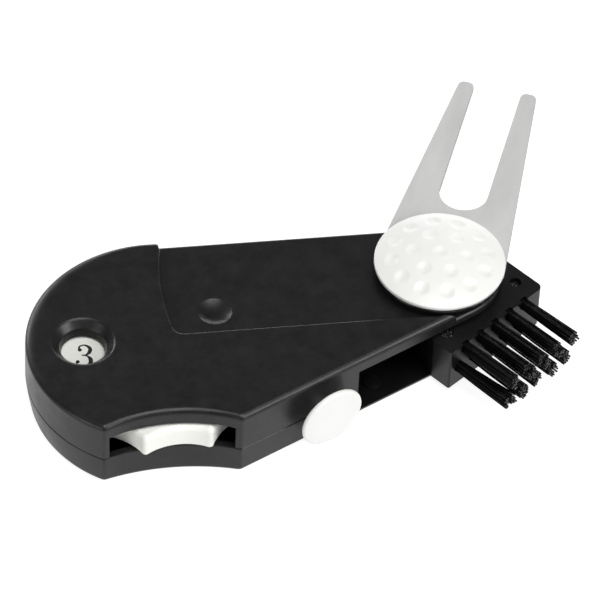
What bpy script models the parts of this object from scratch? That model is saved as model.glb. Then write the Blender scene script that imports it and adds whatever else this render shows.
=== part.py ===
"""A pocket divot repair tool: a tapered two-shell plastic case with a stroke counter at its wide end.

A flat two-pronged fork and a stiff bristle brush both swing on one rivet at the narrow end. A domed
ball marker sits on a magnet above the rivet, and a side button frees the brush.

Frame: metres, +Z up, +X from the counter wheel to the rivet, origin at the middle of the flat underside.
The numbers below are millimetres and degrees; the helpers turn them into metres and radians.
The object is posed with the fork and the brush swung out.
"""

from math import asin, atan2, ceil, cos, degrees, pi, radians, sin, sqrt

import bmesh
import bpy
from mathutils import Matrix, Vector
from mathutils.geometry import intersect_line_sphere_2d, intersect_sphere_sphere_2d

MM = 0.001

# Case outline: a large and a small arc joined by straight sides.
END_R = 24.6
NOSE_R = 11.6
SPAN = 55.4
LENGTH = END_R + SPAN + NOSE_R
PIVOT = Vector((LENGTH / 2 - NOSE_R, 0.0))
WHEEL = Vector((PIVOT.x - SPAN, 0.0))
TAPER = degrees(asin((END_R - NOSE_R) / SPAN))
NEAR = -90.0 + TAPER
FAR = 90.0 - TAPER
FOLDED = 180.0 - TAPER

# Finger scallop in the near side, where the counter wheel shows.
SCALLOP_START = -133.8
SCALLOP_PAST_TANGENT = 1.6
SCALLOP_DEPTH = 2.4
SLOT_WALL = 0.8
SLOT_DEPTH = 4.5
SLOT_ENDS = (-133.5, 1.2)

# Heights.
HEIGHT = 14.5
SPLIT = 6.0
SPLIT_GAP = 0.1
FLOOR = 1.05
ROOF = 11.5
RECESS = 13.0
WALL = 1.4
TOP_ROUND = 1.1
BOTTOM_ROUND = 0.9

# Recess that takes the folded fork.
RECESS_HALF = 12.0
RECESS_HUB_R = 12.4
RECESS_END_R = 52.0
RECESS_CORNER_R = 2.6
NAIL_DIMPLE = Vector((-42.9, 4.4))
NAIL_DIMPLE_R = 3.4
NAIL_DIMPLE_DEPTH = 0.7

# Opening in the near side and round the nose, through which the brush swings.
BAY_MOUTH = 26.2
BAY_FAR_END = -2.6
BAY_MARK = Vector((-17.5, -11.6))

# Counter wheel and its window.
WHEEL_POSITIONS = 11
WHEEL_TIP_R = 21.75
WHEEL_VALLEY_R = 19.3
WHEEL_TIP_BLUNT = 0.955
WHEEL_LOW = 6.3
WHEEL_HIGH = 11.0
WHEEL_TIP_ANGLE = -116.6
WINDOW_RADIUS = 14.0
WINDOW_ANGLE = 163.7
WINDOW_BORE_R = 4.0
WINDOW_THROAT_R = 4.4
WINDOW_RIM_R = 5.85
WINDOW_BEVEL = 1.5
AXLE_R = 3.0

# Bearings.
RIVET_R = 2.0
RUNNING = 0.06
ROUND_SIDES = 32

# Fork.
FORK_ANGLE = 54.6
FORK_LOW = 13.2
FORK_HIGH = 14.5
FORK_HUB_R = 10.3
FORK_ROOT = 1.5
FORK_ROOT_HALF = 12.2
FORK_LENGTH = 49.6
FORK_TIP_HALF = 7.7
FORK_GAP_HALF = 4.6
FORK_GAP_START = 15.6
FORK_TIP_ROUND = 1.2

# Ball marker, its holder and magnet.
MARKER_R = 12.25
MARKER_LOW = 15.4
MARKER_EDGE = 16.3
MARKER_TOP = 18.7
HOLDER_R = 12.15

# Brush.
BRUSH_ANGLE = -65.2
BRUSH_LOW = 1.25
BRUSH_HIGH = 10.7
BRUSH_FACE = 14.4
BRUSH_SIDES = (-11.9, 13.0)
BRUSH_HUB_R = 7.5
TUFTS_PER_ROW = 5
TUFT_PITCH = 3.95
TUFT_R = 1.05
TUFT_TIP_R = 1.35
TUFT_END = 28.0
TUFT_HOLE_R = 1.15
TUFT_HOLE_DEPTH = 2.8
TUFT_ROWS = {"upper": (9.5, 0.05), "lower": (5.45, -1.45)}
STAKE_R = 1.1
STAKE_DEPTH = 10.3
STAKE_SIDES = (-8.6, 10.1)

# Release button and latch, measured from the near wall's outer face where the button's axis meets it.
BUTTON_ALONG = 34.2
BUTTON_Z = 6.9
BUTTON_R = 6.45
BUTTON_STANDOFF = 2.5
BUTTON_THICK = 1.2
BUTTON_LEAN = 3.0
STEM_R = 1.6
STEM_INSIDE = 6.0
STEM_CLEARANCE = 0.15
LATCH_THICK = 3.0

# Screws.
SCREW_HEAD_R = 1.9
SCREW_SHANK_R = 1.0
SIDE_POST = Vector((-37.6, 17.2))
POST_R = 2.0
LOW_POST_R = 2.6

# Click spring: its anchor as radius and angle from the wheel's axis, and its path from there.
CLICK_ANCHOR = (25.0, -36.2)
CLICK_PATH = [(0.6, 0.0), (-1.2, 0.0), (-3.3, -0.5), (-4.3, 0.15), (-3.9, 0.9), (-1.7, 2.2)]
CLICK_THICK = 0.35

# Latch spring.
SPRING_START = Vector((-33.2, 12.6))
SPRING_REACH = 4.6
SPRING_R = 1.3
SPRING_WIRE_R = 0.2
SPRING_TURNS = 5


# ---------------------------------------------------------------- helpers


def polar(centre, radius, angle):
    return Vector((centre[0] + radius * cos(radians(angle)), centre[1] + radius * sin(radians(angle))))


def arc(centre, radius, start, end, step=6.0):
    """Points from the start angle to the end angle, both included."""
    count = max(1, ceil(abs(end - start) / step))
    return [polar(centre, radius, start + (end - start) * i / count) for i in range(count + 1)]


def angle_of(point, centre):
    return degrees(atan2(point[1] - centre[1], point[0] - centre[0]))


def from_pivot(x, y):
    return PIVOT + Vector((x, y))


def along_wall(distance_out, along):
    """A point at a distance from the rivet axis along the near wall's normal, and then along the wall."""
    normal = Vector((sin(radians(TAPER)), -cos(radians(TAPER))))
    tangent = Vector((cos(radians(TAPER)), sin(radians(TAPER))))
    return PIVOT + normal * distance_out + tangent * along


def collection(name):
    made = bpy.data.collections.new(name)
    bpy.context.scene.collection.children.link(made)
    return made


def material(name, colour, roughness, metallic=0.0):
    made = bpy.data.materials.new(name)
    made.use_nodes = True
    shader = made.node_tree.nodes["Principled BSDF"]
    shader.inputs["Base Color"].default_value = (*colour, 1.0)
    shader.inputs["Roughness"].default_value = roughness
    shader.inputs["Metallic"].default_value = metallic
    made.diffuse_color = (*colour, 1.0)
    return made


def new_object(name, data):
    made = bpy.data.objects.new(name, data)
    TOOLS.objects.link(made)
    return made


def finish_mesh(mesh, build):
    """Fills a mesh from a bmesh that build has worked on, with its faces pointing out."""
    bmesh.ops.recalc_face_normals(build, faces=build.faces)
    build.to_mesh(mesh)
    build.free()
    mesh.shade_smooth()
    mesh.set_sharp_from_angle(angle=radians(35))


def curve_to_mesh(curve_object):
    """Turns a curve object into a welded mesh object of the same name and place."""
    bpy.context.view_layer.update()
    evaluated = curve_object.evaluated_get(bpy.context.evaluated_depsgraph_get())
    mesh = bpy.data.meshes.new_from_object(evaluated)
    build = bmesh.new()
    build.from_mesh(mesh)
    bmesh.ops.remove_doubles(build, verts=build.verts, dist=0.000001)
    bmesh.ops.dissolve_limit(build, angle_limit=radians(0.5), verts=build.verts, edges=build.edges)
    finish_mesh(mesh, build)
    name = curve_object.name
    matrix = curve_object.matrix_world.copy()
    bpy.data.objects.remove(curve_object)
    made = new_object(name, mesh)
    made.matrix_world = matrix
    return made


def plate(name, outline, low, high, holes=()):
    """A flat piece with the given outline and holes, between two heights."""
    curve = bpy.data.curves.new(name, "CURVE")
    curve.dimensions = "2D"
    curve.fill_mode = "BOTH"
    curve.extrude = (high - low) / 2 * MM
    for loop in [outline, *holes]:
        spline = curve.splines.new("POLY")
        spline.points.add(len(loop) - 1)
        for target, point in zip(spline.points, loop):
            target.co = (point[0] * MM, point[1] * MM, 0.0, 1.0)
        spline.use_cyclic_u = True
    flat = bpy.data.objects.new(name, curve)
    TOOLS.objects.link(flat)
    flat.location.z = (low + high) / 2 * MM
    return curve_to_mesh(flat)


def rod(name, centre, radius, low, high, sides=ROUND_SIDES):
    """An upright cylinder."""
    mesh = bpy.data.meshes.new(name)
    build = bmesh.new()
    bmesh.ops.create_cone(
        build,
        cap_ends=True,
        segments=sides,
        radius1=radius * MM,
        radius2=radius * MM,
        depth=(high - low) * MM,
    )
    finish_mesh(mesh, build)
    made = new_object(name, mesh)
    made.location = (centre[0] * MM, centre[1] * MM, (low + high) / 2 * MM)
    return made


def turned(name, profile, centre=(0.0, 0.0), steps=ROUND_SIDES, closed=False):
    """A turned piece: profile is (radius, height) pairs from top to bottom down the outer side."""
    mesh = bpy.data.meshes.new(name)
    edges = [(i, i + 1) for i in range(len(profile) - 1)]
    if closed:
        edges.append((len(profile) - 1, 0))
    mesh.from_pydata([(r * MM, 0.0, z * MM) for r, z in profile], edges, [])
    made = new_object(name, mesh)
    made.location = (centre[0] * MM, centre[1] * MM, 0.0)
    screw = made.modifiers.new("Turn", "SCREW")
    screw.steps = steps
    screw.render_steps = steps
    screw.use_merge_vertices = True
    screw.merge_threshold = 0.000001
    screw.use_normal_calculate = False
    return made


def round_edges(piece, height, width, segments=3):
    """Rounds the piece's outline edges at one height above its origin."""
    mesh = piece.data
    weight = mesh.attributes.new("bevel_weight_edge", "FLOAT", "EDGE")
    facing = {}
    for face in mesh.polygons:
        for key in face.edge_keys:
            facing.setdefault(key, []).append(abs(face.normal.z))
    for edge in mesh.edges:
        at_height = all(abs(mesh.vertices[v].co.z - height * MM) < 0.00001 for v in edge.vertices)
        is_rim = min(facing[edge.key]) < 0.5
        weight.data[edge.index].value = 1.0 if at_height and is_rim else 0.0
    bevel = piece.modifiers.new("Round", "BEVEL")
    bevel.limit_method = "WEIGHT"
    bevel.width = width * MM
    bevel.segments = segments


def combine(piece, other, operation):
    """Cuts other from the piece, or joins it to the piece, and puts other away with the cutters."""
    boolean = piece.modifiers.new(other.name, "BOOLEAN")
    boolean.operation = operation
    boolean.solver = "EXACT"
    boolean.object = other
    if other.name not in CUTTERS.objects:
        TOOLS.objects.unlink(other)
        CUTTERS.objects.link(other)
    other.hide_render = True
    other.display_type = "WIRE"


def cut(piece, *others):
    for other in others:
        combine(piece, other, "DIFFERENCE")


def join(piece, *others):
    for other in others:
        combine(piece, other, "UNION")


def axis_empty(name, point, angle=0.0, height=0.0):
    made = bpy.data.objects.new(name, None)
    made.empty_display_size = 0.01
    made.location = (point[0] * MM, point[1] * MM, height * MM)
    made.rotation_euler.z = radians(angle)
    TOOLS.objects.link(made)
    return made


def put_on(parent, *pieces):
    """Parents pieces that were made about the origin to an axis, so that they take its place and turn."""
    for piece in pieces:
        piece.parent = parent


def keep_on(parent, *pieces):
    """Parents pieces that already stand in their place to an axis."""
    bpy.context.view_layer.update()
    for piece in pieces:
        piece.parent = parent
        piece.matrix_parent_inverse = parent.matrix_world.inverted()


def move(matrix, *pieces):
    """Moves pieces from where they stand by a matrix in metres."""
    bpy.context.view_layer.update()
    for piece in pieces:
        piece.matrix_world = matrix @ piece.matrix_world


def to_near_wall(height=0.0):
    """From the origin to the button's place on the near wall: +X along the wall, +Y into the case."""
    foot = along_wall(NOSE_R, -BUTTON_ALONG)
    place = Matrix.Translation((foot.x * MM, foot.y * MM, height * MM))
    return place @ Matrix.Rotation(radians(TAPER), 4, "Z")


def paint(finish, *pieces):
    for piece in pieces:
        piece.data.materials.clear()
        piece.data.materials.append(finish)


# ---------------------------------------------------------------- outlines


def scallop_circle():
    """Centre and radius of the finger scallop's arc."""
    left = polar(WHEEL, END_R, SCALLOP_START)
    tangent = Vector((cos(radians(TAPER)), sin(radians(TAPER))))
    right = polar(WHEEL, END_R, NEAR) + tangent * SCALLOP_PAST_TANGENT
    middle = (left + right) / 2
    half = (right - left).length / 2
    radius = (half * half + SCALLOP_DEPTH * SCALLOP_DEPTH) / (2 * SCALLOP_DEPTH)
    inward = (WHEEL - middle).normalized()
    return middle - inward * (radius - SCALLOP_DEPTH), radius


def case_outline(inset=0.0, scalloped=True):
    """The case seen from above, moved inwards by inset."""
    points = arc(PIVOT, NOSE_R - inset, NEAR, FAR, 8.0)
    if not scalloped:
        return points + arc(WHEEL, END_R - inset, FAR, 360.0 + NEAR, 5.0)
    centre, radius = scallop_circle()
    radius += inset
    left = min(
        intersect_sphere_sphere_2d(WHEEL, END_R - inset, centre, radius), key=lambda p: p.x
    )
    wall = [along_wall(NOSE_R - inset, -SPAN), along_wall(NOSE_R - inset, 0.0)]
    right = max(
        (p for p in intersect_line_sphere_2d(wall[0], wall[1], centre, radius, False) if p),
        key=lambda p: p.x,
    )
    points += arc(WHEEL, END_R - inset, FAR, 360.0 + angle_of(left, WHEEL), 5.0)
    return points + arc(centre, radius, angle_of(left, centre), angle_of(right, centre), 3.0)[1:]


def slot_outline():
    """Thins the walls beside the scallop, so that the thumb slot reaches almost to its corners."""
    start, past_tangent = SLOT_ENDS
    end = past_tangent - SPAN * cos(radians(TAPER))
    return (
        arc(WHEEL, END_R - SLOT_WALL, start, NEAR, 5.0)
        + [along_wall(NOSE_R - SLOT_WALL, end)]
        + [along_wall(NOSE_R - SLOT_DEPTH, end)]
        + arc(WHEEL, END_R - SLOT_DEPTH, NEAR, start, 5.0)
    )


def recess_outline():
    """The shallow recess for the folded fork: a band with a round end, open at the nose and far side."""
    along = Vector((cos(radians(FOLDED)), sin(radians(FOLDED))))
    across = Vector((-along.y, along.x))

    def point(forward, side):
        return PIVOT + along * forward + across * side

    reach = RECESS_END_R - RECESS_CORNER_R
    corner = point(sqrt(reach**2 - (RECESS_HALF - RECESS_CORNER_R) ** 2), RECESS_HALF - RECESS_CORNER_R)
    corner_turn = angle_of(corner, PIVOT)
    hub_start = angle_of(point(sqrt(RECESS_HUB_R**2 - RECESS_HALF**2), RECESS_HALF), PIVOT)
    outside = NOSE_R + 5.0
    points = arc(PIVOT, RECESS_END_R, 140.0, corner_turn % 360.0, 3.0)
    points += arc(corner, RECESS_CORNER_R, corner_turn % 360.0, FOLDED + 90.0, 15.0)[1:]
    points += arc(PIVOT, RECESS_HUB_R, hub_start, FAR - 10.0, 8.0)
    points.append(point(-4.0, -outside))
    return points


def bay_outline():
    """The part of the case's rim that is open for the brush."""
    return [
        along_wall(6.0, -BAY_MOUTH),
        along_wall(25.0, -BAY_MOUTH),
        from_pivot(25.0, -26.0),
        from_pivot(25.0, 25.0),
        from_pivot(BAY_FAR_END, 25.0),
        from_pivot(BAY_FAR_END, 6.0),
    ]


def wheel_outline():
    """Flutes between blunt tips, all round the counter wheel."""
    tip = polar((0, 0), WHEEL_TIP_R, WHEEL_TIP_BLUNT * 180.0 / WHEEL_POSITIONS)
    reach = (tip.length_squared - WHEEL_VALLEY_R**2) / (2 * (tip.x - WHEEL_VALLEY_R))
    spread = degrees(atan2(tip.y, reach - tip.x))
    points = []
    for k in range(WHEEL_POSITIONS):
        turn = 360.0 * (k + 0.5) / WHEEL_POSITIONS
        centre = polar((0, 0), reach, turn)
        points += arc(centre, reach - WHEEL_VALLEY_R, turn + 180.0 + spread, turn + 180.0 - spread, 9.0)
    return points


def fork_outline():
    """The fork from above, pointing along +X, with the rivet at the origin."""
    slope = (FORK_ROOT_HALF - FORK_TIP_HALF) / FORK_LENGTH
    lean = degrees(atan2(slope, 1.0))
    r = FORK_TIP_ROUND
    gap_r = FORK_GAP_HALF
    root = Vector((FORK_ROOT, FORK_ROOT_HALF - FORK_ROOT * slope))
    upper = arc((FORK_LENGTH - r, FORK_TIP_HALF - r), r, 90.0 - lean, 0.0, 20.0)
    upper += arc((FORK_LENGTH - r, FORK_GAP_HALF + r), r, 0.0, -90.0, 20.0)
    lower = [Vector((p.x, -p.y)) for p in reversed(upper)]
    gap = arc((FORK_GAP_START + gap_r, 0.0), gap_r, 90.0, 270.0, 10.0)
    hub = [Vector((root.x, -root.y)), *arc((0.0, 0.0), FORK_HUB_R, -105.0, -255.0, 6.0), root]
    return list(reversed(upper + gap + lower + hub))


def brush_outline():
    """The brush block and its hub from above, bristles along +X, with the rivet at the origin."""
    left, right = BRUSH_SIDES
    r = 0.9
    points = arc((BRUSH_FACE - r, right - r), r, 0.0, 90.0, 22.5)
    points += arc((4.5 + r, right - r), r, 90.0, 150.0, 30.0)
    points += arc((0.0, 0.0), BRUSH_HUB_R, 112.0, 236.0, 9.0)
    points += arc((9.2 + r, left + r), r, 236.0, 270.0, 17.0)
    points += arc((BRUSH_FACE - r, left + r), r, 270.0, 360.0, 22.5)
    return points


def latch_outline():
    """The latch slide from above: a socket for the button's stem, a bar across the case and a hook."""
    foot = along_wall(NOSE_R, -BUTTON_ALONG)
    inward = Vector((-sin(radians(TAPER)), cos(radians(TAPER))))
    tangent = Vector((cos(radians(TAPER)), sin(radians(TAPER))))

    def socket(u, v):
        return foot + tangent * u + inward * v

    def by_far_wall(distance, x):
        return from_pivot(x, (distance - x * sin(radians(TAPER))) / cos(radians(TAPER)))

    bar_left, bar_right = -32.0, -30.2
    return [
        socket(-1.9, 4.4),
        socket(2.9, 4.4),
        socket(2.9, 8.5),
        from_pivot(bar_right, -9.0),
        by_far_wall(7.9, bar_right),
        by_far_wall(7.9, -16.2),
        from_pivot(-15.9, 9.9),
        from_pivot(-14.4, 10.1),
        by_far_wall(8.9, -14.4),
        by_far_wall(8.9, bar_left),
        from_pivot(bar_left, 12.6),
        from_pivot(-34.6, 12.2),
        from_pivot(-34.4, 10.8),
        from_pivot(bar_left, 10.6),
        from_pivot(bar_left, -9.6),
        socket(-1.9, 8.5),
    ]


# ---------------------------------------------------------------- pieces


def screw_holes(prefix, centre):
    """Cutters for a screw: head counterbore and clearance hole."""
    return [
        rod(prefix + "_head_hole", centre, SCREW_HEAD_R + 0.25, -1.0, 2.4, 24),
        rod(prefix + "_shank_hole", centre, SCREW_SHANK_R + 0.12, 1.0, 12.8, 16),
    ]


def button_hole():
    """The hole for the button's stem through the near wall."""
    hole = rod("cut_button_hole", (0, 0), STEM_R + STEM_CLEARANCE, -2.5, 4.0, 28)
    move(to_near_wall(BUTTON_Z) @ Matrix.Rotation(radians(-90), 4, "X"), hole)
    return hole


def make_shared_cutters():
    near_post = from_pivot(SIDE_POST.x, -SIDE_POST.y)
    far_post = from_pivot(SIDE_POST.x, SIDE_POST.y)
    cutters = {
        "bay": [plate("cut_bay", bay_outline(), FLOOR, ROOF)],
        "button": [button_hole()],
        "rivet": [rod("cut_rivet", PIVOT, RIVET_R + 0.15, -1.0, 20.0)],
        "screws": [],
    }
    for name, centre in (("axle", WHEEL), ("near", near_post), ("far", far_post)):
        cutters["screws"] += screw_holes("cut_" + name, centre)
    return cutters, near_post, far_post


def make_bottom_shell(shared, posts):
    shell = plate("bottom_shell", case_outline(), 0.0, SPLIT)
    round_edges(shell, -SPLIT / 2, BOTTOM_ROUND)
    cut(shell, plate("cut_bottom_cavity", case_outline(WALL), FLOOR, SPLIT + 2.0))
    cut(shell, *shared["bay"])
    join(
        shell,
        rod("add_axle_shelf", WHEEL, 5.6, 0.6, WHEEL_LOW - 0.2),
        rod("add_axle_post", WHEEL, AXLE_R, 0.7, 9.6, 48),
        rod("add_rivet_boss", PIVOT, 5.0, 0.6, 2.0),
        rod("add_bay_mark", PIVOT + BAY_MARK, 1.7, 0.6, FLOOR + 0.35, 24),
        click_anchor(),
    )
    for side, post in zip(("near", "far"), posts):
        join(shell, rod("add_low_post_" + side, post, LOW_POST_R, 0.6, SPLIT, 24))
    cut(shell, rod("cut_rivet_head", PIVOT, 3.9, -1.0, 1.0))
    cut(shell, *shared["screws"], *shared["rivet"], *shared["button"])
    return shell


def make_top_shell(shared, posts):
    low = SPLIT + SPLIT_GAP
    shell = plate("top_shell", case_outline(), low, HEIGHT)
    round_edges(shell, (HEIGHT - low) / 2, TOP_ROUND, 4)
    cut(shell, plate("cut_top_cavity", case_outline(WALL, scalloped=False), low - 2.0, ROOF))
    cut(shell, plate("cut_thumb_slot", slot_outline(), low - 1.0, ROOF - 0.1))
    cut(shell, *shared["bay"])
    cut(shell, plate("cut_recess", recess_outline(), RECESS, HEIGHT + 3.0))
    join(shell, rod("add_axle_boss", WHEEL, AXLE_R - 0.1, 9.7, ROOF + 0.8, 48))
    join(shell, spring_seat())
    for side, post in zip(("near", "far"), posts):
        join(shell, rod("add_high_post_" + side, post, POST_R, low, ROOF + 0.8, 24))
    sphere_r = (NAIL_DIMPLE_R**2 + NAIL_DIMPLE_DEPTH**2) / (2 * NAIL_DIMPLE_DEPTH)
    cut(
        shell,
        window_cutter(),
        ball("cut_nail_dimple", PIVOT + NAIL_DIMPLE, sphere_r, RECESS - NAIL_DIMPLE_DEPTH + sphere_r),
        rod("cut_washer_seat", PIVOT, 5.3, 12.6, 16.0),
    )
    cut(shell, *shared["screws"], *shared["rivet"], *shared["button"])
    return shell


def window_cutter():
    """A bore that flares into the roof's upper face."""
    above = 2 * WINDOW_RIM_R - WINDOW_THROAT_R
    profile = [
        (0.0, HEIGHT + WINDOW_BEVEL),
        (above, HEIGHT + WINDOW_BEVEL),
        (WINDOW_THROAT_R, HEIGHT - WINDOW_BEVEL),
        (WINDOW_BORE_R, ROOF),
        (WINDOW_BORE_R, ROOF - 2.0),
        (0.0, ROOF - 2.0),
    ]
    return turned("cut_window", profile, polar(WHEEL, WINDOW_RADIUS, WINDOW_ANGLE))


def ball(name, centre, radius, height):
    mesh = bpy.data.meshes.new(name)
    build = bmesh.new()
    bmesh.ops.create_uvsphere(build, u_segments=32, v_segments=48, radius=radius * MM)
    finish_mesh(mesh, build)
    made = new_object(name, mesh)
    made.location = (centre[0] * MM, centre[1] * MM, height * MM)
    return made


def spring_seat():
    """A rib on the far wall, square to the latch's travel, that the latch spring pushes against."""
    foot = spring_line(SPRING_REACH)
    seat = plate("add_spring_seat", [(-2.2, 0.0), (2.2, 0.0), (2.2, 1.0), (-2.2, 3.0)], 6.4, ROOF + 0.6)
    turn = Matrix.Rotation(radians(TAPER), 4, "Z")
    move(Matrix.Translation((foot.x * MM, foot.y * MM, 0.0)) @ turn, seat)
    return seat


def spring_line(distance):
    """A point on the latch spring's axis, at a distance from its end on the latch."""
    start = PIVOT + SPRING_START
    return start + Vector((-sin(radians(TAPER)), cos(radians(TAPER)))) * distance


def to_click_anchor():
    """From the origin to the click spring's anchor: +X away from the wheel's axis."""
    point = polar(WHEEL, *CLICK_ANCHOR)
    turn = Matrix.Rotation(radians(CLICK_ANCHOR[1]), 4, "Z")
    return Matrix.Translation((point.x * MM, point.y * MM, 0.0)) @ turn


def click_anchor():
    """A slotted post that holds the click spring's straight end."""
    made = plate("add_click_anchor", [(-0.65, -0.8), (0.65, -0.8), (0.65, 0.8), (-0.65, 0.8)], 0.6, 8.0)
    slot = plate("cut_click_slot", [(-1.5, -0.32), (1.5, -0.32), (1.5, 0.32), (-1.5, 0.32)], 6.5, 10.0)
    move(to_click_anchor(), made, slot)
    cut(made, slot)
    return made


def make_counter_wheel():
    wheel = plate("counter_wheel", wheel_outline(), WHEEL_LOW, WHEEL_HIGH)
    cut(wheel, rod("cut_wheel_bore", (0, 0), AXLE_R + RUNNING, 0.0, 20.0, 48))
    return wheel


def make_click_spring():
    """A bent strip whose nose drops into the wheel's flutes."""
    path = [Vector(point) for point in CLICK_PATH]
    sides = []
    for i, point in enumerate(path):
        before = path[max(i - 1, 0)]
        after = path[min(i + 1, len(path) - 1)]
        heading = (after - before).normalized()
        sides.append(Vector((-heading.y, heading.x)) * CLICK_THICK / 2)
    left = [p + s for p, s in zip(path, sides)]
    right = [p - s for p, s in zip(path, sides)]
    spring = plate("click_spring", left + right[::-1], 6.8, 9.8)
    move(to_click_anchor(), spring)
    return spring


def make_screw(name, centre, length):
    head_low, head_high = 0.35, 2.0
    profile = [
        (0.0, length),
        (SCREW_SHANK_R * 0.5, length),
        (SCREW_SHANK_R, length - 1.2),
        (SCREW_SHANK_R, head_high),
        (SCREW_HEAD_R, head_high),
        (SCREW_HEAD_R, head_low + 0.5),
        (SCREW_HEAD_R - 0.5, head_low),
        (0.0, head_low),
    ]
    screw = turned(name, profile, centre, 16)
    half, reach = 0.24, 1.35
    for label, x, y, depth in (("slot", reach, half, 1.1), ("cross", half, reach, 1.05)):
        corners = [(x, y), (-x, y), (-x, -y), (x, -y)]
        cut(screw, plate(f"cut_{name}_{label}", [centre + Vector(p) for p in corners], -1.0, depth))
    return screw


def make_rivet():
    profile = [
        (0.0, 15.1),
        (3.5, 15.1),
        (3.9, 14.85),
        (3.9, 14.65),
        (RIVET_R, 14.65),
        (RIVET_R, 0.85),
        (3.6, 0.85),
        (3.6, 0.4),
        (3.1, 0.15),
        (0.0, 0.15),
    ]
    return turned("pivot_rivet", profile, PIVOT)


def washer(name, inner, outer, low, high):
    profile = [(inner, high), (outer, high), (outer, low), (inner, low)]
    return turned(name, profile, PIVOT, closed=True)


def make_fork():
    fork = plate("fork", fork_outline(), FORK_LOW, FORK_HIGH)
    cut(fork, rod("cut_fork_bore", (0, 0), RIVET_R + RUNNING, 0.0, 20.0))
    return fork


def make_marker_holder():
    profile = [
        (0.0, 15.6),
        (4.3, 15.6),
        (4.3, 16.5),
        (6.0, 16.5),
        (6.2, 16.3),
        (6.2, 15.2),
        (HOLDER_R - 0.2, 15.2),
        (HOLDER_R, 15.0),
        (HOLDER_R, 14.6),
        (4.4, 14.6),
        (4.4, 15.3),
        (0.0, 15.3),
    ]
    return turned("marker_holder", profile, PIVOT, 40)


def make_marker():
    """A shallow dome over a flat underside with a round pocket."""
    edge_r = MARKER_R - 0.4
    rise = MARKER_TOP - MARKER_EDGE
    sphere_r = (edge_r**2 + rise**2) / (2 * rise)
    dome = [
        (r, MARKER_TOP - sphere_r + sqrt(sphere_r**2 - r * r))
        for r in (edge_r * i / 5 for i in range(6))
    ]
    profile = dome + [
        (MARKER_R, MARKER_EDGE - 0.4),
        (MARKER_R, MARKER_LOW + 0.3),
        (MARKER_R - 0.3, MARKER_LOW),
        (6.6, MARKER_LOW),
        (6.6, 17.1),
        (0.0, 17.1),
    ]
    return turned("ball_marker", profile, PIVOT, 48)


def make_brush_arm():
    arm = plate("brush_arm", brush_outline(), BRUSH_LOW, BRUSH_HIGH)
    cut(
        arm,
        rod("cut_brush_bore", (0, 0), RIVET_R + RUNNING, 0.0, 20.0),
        rod("cut_boss_clearance", (0, 0), 5.4, 0.0, 2.3),
    )
    return arm


def tuft_places():
    """Name, height and side of each tuft."""
    for row, (height, shift) in TUFT_ROWS.items():
        for k in range(TUFTS_PER_ROW):
            side = shift + (k - (TUFTS_PER_ROW - 1) / 2) * TUFT_PITCH
            yield f"tuft_{row}_{k + 1}", height, side


def make_tufts(arm):
    tufts = []
    root = BRUSH_FACE - TUFT_HOLE_DEPTH
    for name, height, side in tuft_places():
        lay_down = Matrix.Translation((0, side * MM, height * MM)) @ Matrix.Rotation(radians(90), 4, "Y")
        hole = rod("cut_" + name, (0, 0), TUFT_HOLE_R, root, BRUSH_FACE + 1.0, 12)
        move(lay_down, hole)
        cut(arm, hole)
        profile = [
            (0.0, TUFT_END),
            (TUFT_TIP_R, TUFT_END),
            (TUFT_R, BRUSH_FACE),
            (TUFT_R, root + 0.3),
            (0.0, root + 0.3),
        ]
        tuft = turned(name, profile, steps=12)
        move(lay_down, tuft)
        tufts.append(tuft)
    return tufts


def make_stake_pins(arm):
    """Two pins that hold the bristle plugs, set into the top of the brush block."""
    pins = []
    for k, side in enumerate(STAKE_SIDES, start=1):
        place = (STAKE_DEPTH, side)
        cut(arm, rod(f"cut_stake_{k}", place, STAKE_R + 0.05, 5.9, 13.0, 20))
        pins.append(rod(f"brush_stake_pin_{k}", place, STAKE_R, 6.0, BRUSH_HIGH - 0.1, 20))
    return pins


def make_button():
    """The white button: a cap that leans down a little, on a stem that slides square to the wall."""
    half = BUTTON_THICK / 2
    profile = [
        (0.0, half),
        (BUTTON_R * 0.55, half - 0.08),
        (BUTTON_R - 0.45, half - 0.2),
        (BUTTON_R - 0.1, half - 0.4),
        (BUTTON_R, half - 0.7),
        (BUTTON_R - 0.25, -half),
        (0.0, -half),
    ]
    button = turned("release_button", profile, steps=48)
    stem = rod("add_button_stem", (0, 0), STEM_R, -STEM_INSIDE, BUTTON_STANDOFF + half)
    move(Matrix.Rotation(radians(90), 4, "X"), stem)
    button.location.y = -(BUTTON_STANDOFF + half) * MM
    button.rotation_euler.x = radians(90 + BUTTON_LEAN)
    join(button, stem)
    return button, stem


def make_latch_slide():
    middle = BUTTON_Z
    latch = plate("latch_slide", latch_outline(), middle - LATCH_THICK / 2, middle + LATCH_THICK / 2)
    block = plate("add_socket_block", [(-1.88, 4.42), (2.88, 4.42), (2.88, 8.0), (-1.88, 8.0)], 4.9, 9.6)
    move(to_near_wall(), block)
    socket = rod("cut_latch_socket", (0, 0), STEM_R + 0.1, -1.0, STEM_INSIDE + 0.1, 28)
    move(to_near_wall(BUTTON_Z) @ Matrix.Rotation(radians(-90), 4, "X"), socket)
    join(latch, block)
    cut(latch, socket)
    return latch


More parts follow.
